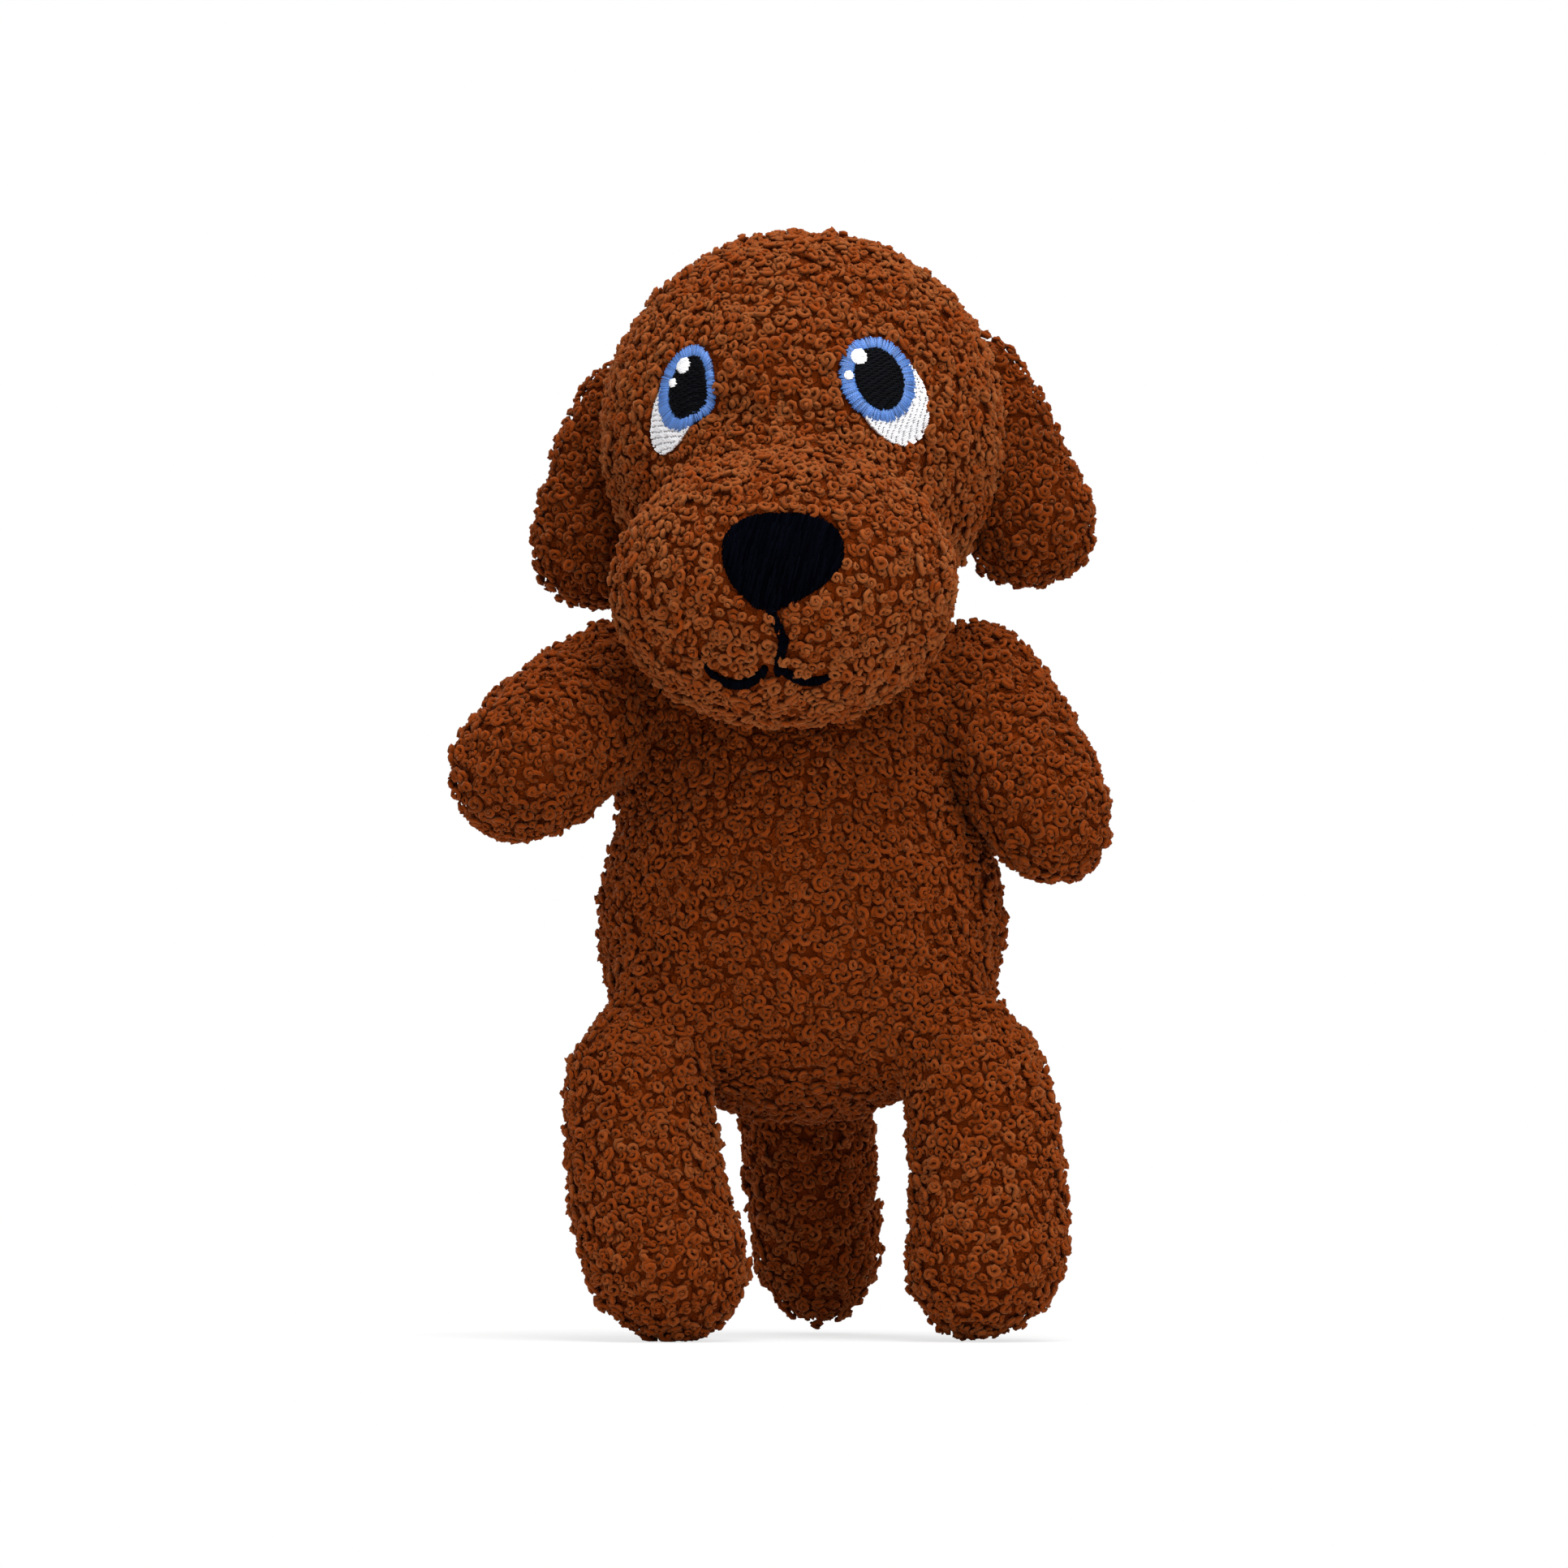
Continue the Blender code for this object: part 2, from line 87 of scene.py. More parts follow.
# Settings


def setting(name, description, default, **kind):
    return FloatProperty(name=name, description=description, default=default, **kind)


def degrees(name, description, default):
    return setting(name, description, math.radians(default), subtype="ANGLE")


def rgb(name, description, default):
    return FloatVectorProperty(name=name, description=description, default=default, subtype="COLOR")


metres = partial(setting, unit="LENGTH")
watts = partial(setting, unit="POWER")


class StuffingSettings(bpy.types.PropertyGroup):
    """How the bags are filled."""

    voxel: metres("Cloth mesh", "Size of the cloth's faces", 0.004)
    pressure: setting("Pressure", "How hard the fibre pushes out", 1500.0)
    stiffness: setting("Cloth stiffness", "How hard the cloth is to stretch", 0.15)
    mass: setting("Cloth mass", "Mass of the cloth at each corner of its mesh", 0.002, unit="MASS")
    swell: metres("Swell", "How far the cloth may move out", 0.0036)
    fillet: metres("Fillet", "Radius of the grooves in a limb", 0.004)
    hip_fillet: metres("Hip fillet", "Radius of the grooves round the torso's limbs", 0.009)
    cheek_fillet: metres("Cheek fillet", "Radius of the groove round the muzzle", 0.007)
    frames: IntProperty(name="Frames", description="Length of the filling, in frames", default=20)
    smoothing: IntProperty(name="Smoothing", description="Passes that take off the cut's facets", default=4)
    fill: setting("Fill", "How tightly a bag is filled", 0.85, subtype="FACTOR", min=0.0, max=1.0)


class FleeceSettings(bpy.types.PropertyGroup):
    """The curls of the fleece."""

    spacing: metres("Spacing", "Least distance between two curls", 0.00205)
    density: setting("Tries", "Places tried for a curl, per square metre", 4.0e6)
    loop: metres("Loop radius", "Radius of a middling curl's outer turn", 0.00135)
    yarn: metres("Yarn radius", "Half the thickness of the yarn", 0.00062)
    lift: metres("Lift", "Height of a curl's foot over the cloth", 0.0007)
    tilt: degrees("Tilt", "Most lean of a curl", 34.0)
    smallest: setting("Smallest", "Scale of the smallest curl", 0.70)
    largest: setting("Largest", "Scale of the largest curl", 1.20)
    face_gap: metres("Face gap", "Distance of a curl's foot from the stitches", 0.0007)
    # The dark, middle and light colours are the yarn's own tints; the bags' painted light and shade moves
    # the head's curls towards the light one and the neck's, torso's, ears' and arms' towards the dark one
    dark: rgb("Dark", "Colour of the darkest curls", (0.132, 0.0215, 0.0014))
    middle: rgb("Middle", "Colour of most curls", (0.195, 0.0320, 0.0024))
    light: rgb("Light", "Colour of the lightest curls", (0.250, 0.0760, 0.0200))
    # The ground is the cloth's own colour, made a little redder than the curls as painted shade for the gaps
    # between them
    ground: rgb("Ground", "Colour of the cloth under the curls", (0.195, 0.0290, 0.0015))
    seed: IntProperty(name="Seed", description="Start of the scatter", default=7)


class ThreadSettings(bpy.types.PropertyGroup):
    """The embroidery."""

    width: metres("Thread width", "Width of a thread as it lies", 0.00046)
    height: metres("Thread height", "Thickness of a thread as it lies", 0.00034)
    stitch: metres("Stitch length", "Length of a usual fill stitch", 0.0034)
    raise_by: metres("Rise", "Height of the stitches over the cloth", 0.0016)
    white: rgb("White", "Colour of the white thread", (0.86, 0.86, 0.88))
    blue: rgb("Blue", "Colour of the blue thread", (0.054, 0.148, 0.42))
    black: rgb("Black", "Colour of the black thread", (0.0011, 0.0013, 0.0026))
    eye_rise: metres("Eye rise", "How far the eyes are stitched above their solids", 0.0010)
    far_width: setting("Far eye width", "Width of the right eye, as a share of the left one's", 0.78)
    far_shift: metres("Far eye shift", "How far outwards the right eye is stitched", 0.0016)
    iris_tilt: degrees("Iris tilt", "How far the iris leans out below", 13.0)
    white_aside: metres("White aside", "The white's middle, outwards of the iris", 0.0038)
    white_drop: metres("White drop", "The white's middle, below the iris", 0.0046)
    white_half_width: metres("White half width", "Half the white's width", 0.0093)
    white_half_height: metres("White half height", "Half the white's height", 0.0119)
    white_tilt: degrees("White tilt", "How far the white leans out below", 30.0)
    far_white: setting("Far white", "Width of the right white, as a share of the narrowed eye's", 0.90)
    far_pupil: metres("Far pupil", "How far inwards the right eye looks", 0.0009)
    glint_aside: metres("Glint aside", "How far to the left the glints are stitched", 0.0006)
    nose_rise: metres("Nose rise", "How far the nose is stitched above its solid", 0.0009)
    nose_lean: metres("Nose lean", "How far the nose's tip is to the side", 0.0036)
    stroke: metres("Stroke", "Width of the mouth's lines", 0.0019)
    smile_radius: metres("Smile radius", "Radius of each half of the smile", 0.0088)
    smile_outwards: degrees("Smile outwards", "Each half's angle from its lowest point outwards", 76.0)
    smile_inwards: degrees("Smile inwards", "Each half's angle from its lowest point inwards", 48.0)
    smile_shown: setting("Smile shown", "Share of the left half's outer arc that the curls leave", 0.45)
    mouth_rise: metres("Mouth rise", "How far the mouth is stitched above its solids", 0.0022)
    smile_aside: metres("Smile aside", "How far the smile is to the side", 0.0042)
    seed: IntProperty(name="Seed", description="Start of the stitches' small differences", default=11)


class StageSettings(bpy.types.PropertyGroup):
    """Camera, lights and backdrop."""

    aim: FloatVectorProperty(
        name="Aim",
        description="Point that the camera looks at",
        default=(-0.0026, 0.0100, 0.1387),
        subtype="XYZ",
    )
    distance: metres("Distance", "From the camera to its aim", 1.5)
    elevation: degrees("Elevation", "How far the camera looks down", -4.0)
    view: degrees("Field of view", "Width of the picture", 14.96)
    sky: setting("Sky", "Strength of the light from all round", 0.52)
    top: watts("Top light", "Power of the light overhead", 17.0)
    front: watts("Front light", "Power of the light in front", 7.0)
    back: watts("Back light", "Power of the light behind", 5.0)


SETTINGS = {
    "plush_stuffing": StuffingSettings,
    "plush_fleece": FleeceSettings,
    "plush_thread": ThreadSettings,
    "plush_stage": StageSettings,
}


# Nodes, objects and meshes


def out_of(node, name=None):
    """The node's output with this name, or else its first one, of those in use."""
    return next(socket for socket in node.outputs if socket.enabled and name in (None, socket.name))


def input_of(node, key):
    """The node's input with this number, or the one in use with this name."""
    if isinstance(key, int):
        return node.inputs[key]
    return next(socket for socket in node.inputs if socket.enabled and socket.name == key)


def feed(tree, node, inputs):
    """Links a node's inputs to other nodes or their outputs, or sets them to plain values."""
    for key, value in inputs.items():
        source = out_of(value) if isinstance(value, bpy.types.Node) else value
        if isinstance(source, bpy.types.NodeSocket):
            tree.links.new(source, input_of(node, key))
        else:
            input_of(node, key).default_value = source


def add_node(tree, kind, inputs=None, **choices):
    node = tree.nodes.new(kind)
    for name, value in choices.items():
        setattr(node, name, value)
    feed(tree, node, inputs or {})
    return node


def add_math(tree, operation, *values, **choices):
    return add_node(tree, "ShaderNodeMath", dict(enumerate(values)), operation=operation, **choices)


def add_range(tree, value, was=(0.0, 1.0), now=(0.0, 1.0), **choices):
    """Carries a value from one range over to another."""
    ends = {"From Min": was[0], "From Max": was[1], "To Min": now[0], "To Max": now[1]}
    return add_node(tree, "ShaderNodeMapRange", {"Value": value, **ends}, **choices)


def add_mix(tree, share, first, second, **choices):
    return add_node(tree, "ShaderNodeMix", {"Factor": share, "A": first, "B": second}, **choices)


def add_shade(tree, colour, level):
    """Makes a colour darker or lighter."""
    return add_mix(tree, 1.0, colour, level, data_type="RGBA", blend_type="MULTIPLY")


def add_ramp(tree, value, colours):
    """Blends evenly from the first colour to the last."""
    ramp = add_node(tree, "ShaderNodeValToRGB", {"Fac": value})
    stops = ramp.color_ramp.elements
    for number in range(1, len(colours) - 1):
        stops.new(number / (len(colours) - 1))
    for stop, colour in zip(stops, colours):
        stop.color = (*colour, 1.0)
    return ramp


def add_split(tree, vector):
    return add_node(tree, "ShaderNodeSeparateXYZ", {"Vector": vector})


def new_group(name, kind, inputs, outputs):
    """An empty node group, with the nodes for what it is given and what it makes."""
    group = bpy.data.node_groups.new(name, kind)
    for in_out, sockets in (("INPUT", inputs), ("OUTPUT", outputs)):
        for socket, value in sockets.items():
            group.interface.new_socket(socket, in_out=in_out, socket_type=f"NodeSocket{value}")
    return group, group.nodes.new("NodeGroupInput"), group.nodes.new("NodeGroupOutput")


def set_material(mesh, material):
    mesh.materials.clear()
    mesh.materials.append(material)


def mesh_object(name, mesh, material=None):
    piece = bpy.data.objects.new(name, mesh)
    if material:
        set_material(mesh, material)
    bpy.context.scene.collection.objects.link(piece)
    return piece


def mesh_from(name, bm):
    mesh = bpy.data.meshes.new(name)
    bm.to_mesh(mesh)
    bm.free()
    mesh.shade_smooth()
    return mesh


def bake_modifiers(piece):
    """Puts the result of the piece's modifiers in its mesh, and takes the modifiers off."""
    graph = bpy.context.evaluated_depsgraph_get()
    mesh = bpy.data.meshes.new_from_object(piece.evaluated_get(graph))
    piece.modifiers.clear()
    old = piece.data
    piece.data = mesh
    mesh.name = piece.name
    bpy.data.meshes.remove(old)


def node_bmesh(nodes):
    """The named CAD solids in one mesh, with their loose triangles joined up."""
    bm = bmesh.new()
    for node in nodes:
        bm.from_mesh(frame["nodes"][node].data)
    bmesh.ops.remove_doubles(bm, verts=bm.verts, dist=TINY)
    return bm


def tree_of(bm):
    tree = BVHTree.FromBMesh(bm)
    bm.free()
    return tree


def surface_tree(nodes):
    return tree_of(node_bmesh(nodes))


def skin_tree(body):
    bm = bmesh.new()
    bm.from_mesh(bpy.data.objects[f"{body}_cover"].data)
    return tree_of(bm)


def distance_to(tree, point):
    return tree.find_nearest(point)[3]


def depth_in(tree, point):
    """How deep a point lies inside a closed surface."""
    place, normal, _, _ = tree.find_nearest(point)
    return (place - point).dot(normal)


def middle_of(*nodes):
    boxes = [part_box(node) for node in nodes]
    low = Vector([min(box[0][axis] for box in boxes) for axis in range(3)])
    high = Vector([max(box[1][axis] for box in boxes) for axis in range(3)])
    return (low + high) / 2


def joint_place(body):
    joint = next(joint for joint in frame["joints"] if joint["child"] == body)
    return Vector(joint["pos_m"])


# Materials

# How far up a curl its foot reaches, and how dark the foot is, as painted shade where the curl sits down in
# the pile;
# how fine the fibres are across and along the map, the range of their noise, and how dark and light they
# get: partly the fibres' own tones, partly painted highlights where fibres catch the light
FOOT_HEIGHT = 0.35
FOOT_PAINTED_SHADE = 0.85
FIBRE_SCALE = (160.0, 5.0, 1.0)
FIBRE_RANGE = (0.3, 0.7)
FIBRE_SHADES = (0.86, 1.14)
# The ground's fuzz and whorls in a metre, a whorl's rings, their stray and depth, where it ends, and how
# dark what is deep is painted, as painted shade in the whorls' grooves
FUZZ_SCALE = 900.0
WHORL_SCALE = 480.0
WHORL_RINGS = 16.0
WHORL_STRAY = 5.0
WHORL_GROOVE = 0.16
WHORL_EDGE = 0.75
GROOVE_PAINTED_SHADE = 0.45
# The waves of a thread's plies along a stitch
PLY_WAVES = 40.0


def principled(name):
    material = bpy.data.materials.new(name)
    material.use_nodes = True
    return material, material.node_tree, material.node_tree.nodes["Principled BSDF"]


def shared_material(name, make, *details):
    return bpy.data.materials.get(name) or make(*details)


def curl_material(fleece):
    """Yarn with the tint that the map's X gives, darker at its foot, where the map's Y is low, as painted
    shade.
    """
    material, tree, shader = principled("curly fleece")
    place = add_node(tree, "ShaderNodeUVMap", uv_map=UV_NAME)
    split = add_split(tree, place)
    tint = add_ramp(tree, out_of(split, "X"), (fleece.dark, fleece.middle, fleece.light))
    # Painted shade: the foot of each curl, where it sits down in the pile, is darker
    foot = add_range(tree, out_of(split, "Y"), (0.0, FOOT_HEIGHT), (FOOT_PAINTED_SHADE, 1.0))
    strands = add_node(tree, "ShaderNodeVectorMath", {0: place, 1: FIBRE_SCALE}, operation="MULTIPLY")
    # The fibres' streaks of lighter and darker colour are partly their own tones and partly painted
    # highlights where fibres catch the light
    fibre = add_node(tree, "ShaderNodeTexNoise", {"Vector": strands, "Scale": 1.0, "Detail": 2.0})
    level = add_range(tree, fibre, FIBRE_RANGE, FIBRE_SHADES)
    looks = {
        "Base Color": add_shade(tree, tint, add_math(tree, "MULTIPLY", level, foot)),
        "Normal": add_node(tree, "ShaderNodeBump", {"Height": fibre, "Strength": 0.7, "Distance": 0.0003}),
        "Roughness": 0.85,
        "Specular IOR Level": 0.04,
        "Sheen Weight": 0.15,
        "Sheen Roughness": 0.45,
        "Sheen Tint": (0.90, 0.55, 0.27, 1.0),
    }
    feed(tree, shader, looks)
    return material


def ground_material(fleece):
    """The cloth between the curls, where the feet of more curls show as small whorls, with painted shade in
    their grooves.
    """
    material, tree, shader = principled("fleece ground")
    place = out_of(add_node(tree, "ShaderNodeTexCoord"), "Object")
    fuzz = add_node(tree, "ShaderNodeTexNoise", {"Vector": place, "Scale": FUZZ_SCALE, "Detail": 3.0})
    whorl = add_node(tree, "ShaderNodeTexVoronoi", {"Vector": place, "Scale": WHORL_SCALE})
    away = out_of(whorl, "Distance")
    rings = add_math(tree, "MULTIPLY", away, WHORL_RINGS)
    wave = add_math(tree, "SINE", add_math(tree, "MULTIPLY_ADD", fuzz, WHORL_STRAY, rings))
    groove = add_math(tree, "MULTIPLY_ADD", wave, WHORL_GROOVE, away)
    top = add_range(tree, groove, (0.0, WHORL_EDGE), (1.0, 0.0))
    # Painted shade: the whorls' grooves are darker than the cloth
    deep = [channel * GROOVE_PAINTED_SHADE for channel in fleece.ground]
    looks = {
        "Base Color": add_ramp(tree, top, (deep, fleece.ground)),
        "Normal": add_node(tree, "ShaderNodeBump", {"Height": top, "Strength": 1.0, "Distance": 0.0010}),
        "Roughness": 0.95,
        "Specular IOR Level": 0.04,
    }
    feed(tree, shader, looks)
    return material


def fleece_ground():
    return shared_material("fleece ground", ground_material, bpy.context.scene.plush_fleece)


def twist_group():
    """A thread's twist: its colour with the stitch's own tint, and the height of its plies."""
    inputs = {"Colour": "Color", "Contrast": "Float"}
    outputs = {"Colour": "Color", "Height": "Float"}
    group, given, made = new_group("thread twist", "ShaderNodeTree", inputs, outputs)
    split = add_split(group, add_node(group, "ShaderNodeUVMap", uv_map=UV_NAME))
    tint = out_of(split, "X")
    contrast = out_of(given, "Contrast")
    ends = [add_math(group, operation, 1.0, contrast) for operation in ("SUBTRACT", "ADD")]
    level = add_range(group, tint, now=ends)
    plies = add_math(group, "MULTIPLY_ADD", out_of(split, "Y"), PLY_WAVES, tint)
    colour = add_shade(group, out_of(given, "Colour"), level)
    feed(group, made, {"Colour": colour, "Height": add_math(group, "SINE", plies)})
    return group


def thread_material(name, colour, contrast, roughness, gloss):
    material, tree, shader = principled(name)
    group = bpy.data.node_groups.get("thread twist") or twist_group()
    inputs = {"Colour": (*colour, 1.0), "Contrast": contrast}
    twist = add_node(tree, "ShaderNodeGroup", inputs, node_tree=group)
    plies = {"Height": out_of(twist, "Height"), "Strength": 0.35, "Distance": 0.00008}
    looks = {
        "Base Color": out_of(twist, "Colour"),
        "Normal": add_node(tree, "ShaderNodeBump", plies),
        "Roughness": roughness,
        "Specular IOR Level": gloss,
    }
    feed(tree, shader, looks)
    return material


def thread_of(colour):
    """The thread of a colour, with its contrast between stitches, its roughness and its gloss."""
    thread = bpy.context.scene.plush_thread
    details = {
        "white": (thread.white, 0.10, 0.5, 0.4),
        "blue": (thread.blue, 0.45, 0.34, 0.5),
        "black": (thread.black, 0.60, 0.50, 0.0),
        "glossy black": (thread.black, 0.60, 0.50, 0.06),
    }
    name = f"{colour} thread"
    return shared_material(name, thread_material, name, *details[colour])


# Stuffed bags

# The number of a face where no curls grow
BARE = -1
# How far the stuffing lies under a bag's outside, how near to a neighbour its cloth is held,
# how far a socket's filling lies under the limb's cloth, and how deep in a limb the curls end
COVER = 0.0038
HOLD_REACH = 0.0020
ROOT_DEPTH = 0.0023
SUNK = 0.0012
ROOT_SEGMENTS = 24
# The share of a bag's length that counts as its root, and as its tip
END_SHARE = 0.2


class Cut(NamedTuple):
    """How a bag's cut differs from its solid, along the way from its root to its tip."""

    way: tuple
    root_growth: float = 1.0
    tip_growth: float = 1.0
    # Shifts in millimetres
    root_shift: tuple = (0.0, 0.0, 0.0)
    middle_shift: tuple = (0.0, 0.0, 0.0)
    tip_shift: tuple = (0.0, 0.0, 0.0)


DOWN = (0.0, 0.0, -1.0)
CUTS = {
    "head": Cut((0.0, -1.0, 0.0), middle_shift=(1.0, 0.0, 0.0), tip_shift=(-4.0, 0.0, 0.0)),
    "torso": Cut(DOWN, 1.0, 1.03),
    "left_arm": Cut((1.0, 0.0, -0.6), 1.06, 0.82, (0.0, 0.0, 3.0), (0.0, 0.0, 3.0), (-4.0, 0.0, -1.0)),
    "right_arm": Cut((-1.0, 0.0, -0.3), 1.05, 1.0, (0.0, 0.0, 3.0), (0.0, 0.0, 2.0), (-0.5, 0.0, -3.0)),
    "left_leg": Cut(DOWN, 0.86, 0.93, (0.0, 1.0, -3.5), (5.0, 0.0, 0.0), (-2.5, 0.0, -1.2)),
    "right_leg": Cut(DOWN, 0.79, 1.02, (0.5, 1.0, -3.5), (-4.5, 0.0, 0.0), (3.0, 0.0, -1.2)),
    "left_ear": Cut(DOWN, 0.98, 1.50, (-1.5, 0.0, 1.0), (3.0, 0.0, 0.0), (-3.5, 0.0, -2.5)),
    "right_ear": Cut(DOWN, 1.00, 1.40, (0.0, 0.0, 0.0), (-4.5, 0.0, 0.0), (0.0, 0.0, -3.0)),
    "tail": Cut(DOWN, 1.00, 1.05, (0.0, 0.0, 0.0), (0.5, 0.0, 0.0), (1.0, 0.0, 0.0)),
}


def recut(skin, cut):
    """Swells or thins a bag along its length, and bends it."""
    way = Vector(cut.way).normalized()
    places = [vert.co.dot(way) for vert in skin.data.vertices]
    low, high = min(places), max(places)
    shares = [(place - low) / (high - low) for place in places]
    ends = []
    for near_end in (lambda share: share < END_SHARE, lambda share: share > 1.0 - END_SHARE):
        end = [vert.co for vert, share in zip(skin.data.vertices, shares) if near_end(share)]
        ends.append(sum(end, Vector()) / len(end))
    for vert, share in zip(skin.data.vertices, shares):
        core = ends[0].lerp(ends[1], share)
        aside = vert.co - core
        along = way * aside.dot(way)
        growth = cut.root_growth + (cut.tip_growth - cut.root_growth) * share
        bend = (
            Vector(cut.root_shift) * (1.0 - share) ** 2
            + Vector(cut.middle_shift) * 4.0 * share * (1.0 - share)
            + Vector(cut.tip_shift) * share**2
        )
        vert.co = core + along + (aside - along) * growth + bend * MILLIMETRE


def marked_faces(skin):
    """Each face of a skin, with its panel's number."""
    return zip(skin.data.polygons, skin.data.attributes["panel"].data)


def mark_panels(skin, panels):
    """Gives each face the number of the panel that it belongs to."""
    trees = [surface_tree([panel]) for panel in panels]
    skin.data.attributes.new("panel", "INT", "FACE")
    for face, mark in marked_faces(skin):
        distances = [distance_to(tree, face.center) for tree in trees]
        mark.value = distances.index(min(distances))


def halve_panels(skin, panels):
    """Splits each panel at half height: the upper half keeps its number, the lower half gets a new one."""
    half_height = sum(vert.co.z for vert in skin.data.vertices) / len(skin.data.vertices)
    for face, mark in marked_faces(skin):
        if face.center.z < half_height:
            mark.value += len(panels)


def bare_under(skin, limbs):
    """Leaves a skin bare where a limb sits on it."""
    trees = [skin_tree(limb) for limb in limbs]
    for face, mark in marked_faces(skin):
        if any(depth_in(tree, face.center) > SUNK for tree in trees):
            mark.value = BARE


def bare_inside(skin, middle):
    """Leaves a hollow skin bare on its inside, which faces the middle."""
    for face, mark in marked_faces(skin):
        if face.normal.dot(face.center - middle) < 0.0:
            mark.value = BARE


def pin_vertices(skin, neighbours):
    """Holds the cloth where another piece's round end sits in it."""
    tree = surface_tree(neighbours)
    held = [
        vert.index
        for vert in skin.data.vertices
        if distance_to(tree, vert.co) < HOLD_REACH or depth_in(tree, vert.co) > 0.0
    ]
    group = skin.vertex_groups.new(name="held")
    group.add(held, 1.0, "REPLACE")
    return group.name


def fill_bag(skin, held, stuffing):
    """Lets the fibre push the cloth out, no further than the swell."""
    start = [vert.co.copy() for vert in skin.data.vertices]
    outward = [vert.normal.copy() for vert in skin.data.vertices]
    cloth = skin.modifiers.new("filling", "CLOTH")
    cloth.settings.use_pressure = True
    cloth.settings.uniform_pressure_force = stuffing.pressure
    cloth.settings.mass = stuffing.mass
    for kind in ("tension", "compression", "shear", "bending"):
        setattr(cloth.settings, f"{kind}_stiffness", stuffing.stiffness)
    cloth.settings.vertex_group_mass = held
    cloth.settings.effector_weights.gravity = 0.0
    cloth.collision_settings.use_collision = False
    cloth.point_cache.frame_end = stuffing.frames
    scene = bpy.context.scene
    for step in range(1, stuffing.frames + 1):
        scene.frame_set(step)
    bake_modifiers(skin)
    scene.frame_set(1)
    moves = [vert.co - place for vert, place in zip(skin.data.vertices, start)]
    drift = sum(moves, Vector()) / len(moves)
    for vert, place, out, move in zip(skin.data.vertices, start, outward, moves):
        swell = (move - drift).dot(out)
        vert.co = place + out * max(0.0, min(swell, stuffing.swell))


def add_offset(skin, name, distance):
    """Moves the cloth out along its normals."""
    offset = skin.modifiers.new(name, "DISPLACE")
    offset.strength = distance
    offset.mid_level = 0.0


def wrap(skin, voxel, fillet):
    """One closed cloth round all of the skin's parts, with its narrow grooves filled."""
    for move in (fillet, -fillet):
        remesh = skin.modifiers.new("cloth mesh", "REMESH")
        remesh.mode = "VOXEL"
        remesh.voxel_size = voxel
        add_offset(skin, "fillet", move)


def add_root(bm, limb):
    """Fills the hollow for a limb's round end, to just under the limb's cloth."""
    place = joint_place(limb)
    reach = distance_to(surface_tree([f"{limb}_stuffing"]), place) + COVER
    radius = reach * CUTS[limb].root_growth - ROOT_DEPTH
    matrix = Matrix.Translation(place) @ Matrix.Scale(radius, 4)
    segments = {"u_segments": ROOT_SEGMENTS, "v_segments": ROOT_SEGMENTS // 2}
    bmesh.ops.create_uvsphere(bm, radius=1.0, matrix=matrix, **segments)


def stuffed_skin(body, bm, panels, neighbours, fillet):
    """A filled bag: the cloth that wraps the stuffing, smooth, with its panels marked."""
    stuffing = bpy.context.scene.plush_stuffing
    name = f"{body}_cover"
    skin = mesh_object(name, mesh_from(name, bm))
    wrap(skin, stuffing.voxel, fillet)
    smooth = skin.modifiers.new("no facets", "SMOOTH")
    smooth.iterations = stuffing.smoothing
    bake_modifiers(skin)
    recut(skin, CUTS[body])
    held = pin_vertices(skin, neighbours)
    fill_bag(skin, held, stuffing)
    finer = skin.modifiers.new("finer", "SUBSURF")
    finer.levels = 1
    finer.render_levels = 1
    bake_modifiers(skin)
    skin.vertex_groups.clear()
    skin.data.shade_smooth()
    mark_panels(skin, panels)
    set_material(skin.data, fleece_ground())
    return skin


def cover_bag(skin, body, nodes):
    """Sets a bag's skin on its body in place of the CAD nodes."""
    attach(skin, body)
    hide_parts(*nodes)


def make_limb(limb, parent):
    """A bag with a front and a back panel, which rides on its own body."""
    panels = (f"{limb}_front_panel", f"{limb}_back_panel")
    bm = node_bmesh([f"{limb}_stuffing"])
    fillet = bpy.context.scene.plush_stuffing.fillet
    skin = stuffed_skin(limb, bm, panels, [f"{parent}_stuffing"], fillet)
    cover_bag(skin, limb, panels + (f"{limb}_stuffing",))


# Curls


class Curl(NamedTuple):
    """How a curl is wound: its turn in degrees, and its outer turn and its rise in middling loop radii."""

    name: str
    turn: float
    radius: float
    rise: float
    # The share of its radius that it winds inwards
    inwards: float


CURLS = (
    Curl("bun", 600.0, 1.22, 0.70, 0.98),
    Curl("button", 520.0, 0.98, 0.70, 0.98),
    Curl("snail", 480.0, 1.35, 0.60, 0.92),
    Curl("hook", 390.0, 1.20, 0.55, 0.86),
    Curl("twist", 520.0, 0.85, 1.10, 0.50),
)
CURL_STEPS = 10
# How many of each curl there are, each with its own stray
CURL_COPIES = 3
# How far a turn strays, as a share of the yarn's radius, and how thin the yarn's ends are
CURL_STRAY = 0.25
YARN_END = 0.6
YARN_SIDES = 4
# How pale each curl is by itself, how much of that its place decides, the fineness of the places, and how
# much the tint changes round the yarn
OWN_TINT = (0.2, 0.8)
PLACE_SHARE = 0.45
PLACE_SCALE = 70.0
ROUND_SHARE = 0.06
# Painted light and shade on each bag's curls, as a shift of their tint: the head is paler as a painted
# highlight from the light overhead; the neck and torso under the head, and the ears and arms at the sides,
# are darker as painted shade
PAINTED_LIGHT_AND_SHADE = {
    "head": 0.14,
    "neck": -0.14,
    "torso": -0.12,
    "left_arm": -0.26,
    "right_arm": -0.26,
    "left_ear": -0.34,
    "right_ear": -0.34,
}
SCATTER_SEEDS = {"tint": 1, "lean": 2, "size": 3, "shape": 4, "lift": 5}


def mean_place(verts):
    return sum((vert.co for vert in verts), Vector()) / len(verts)


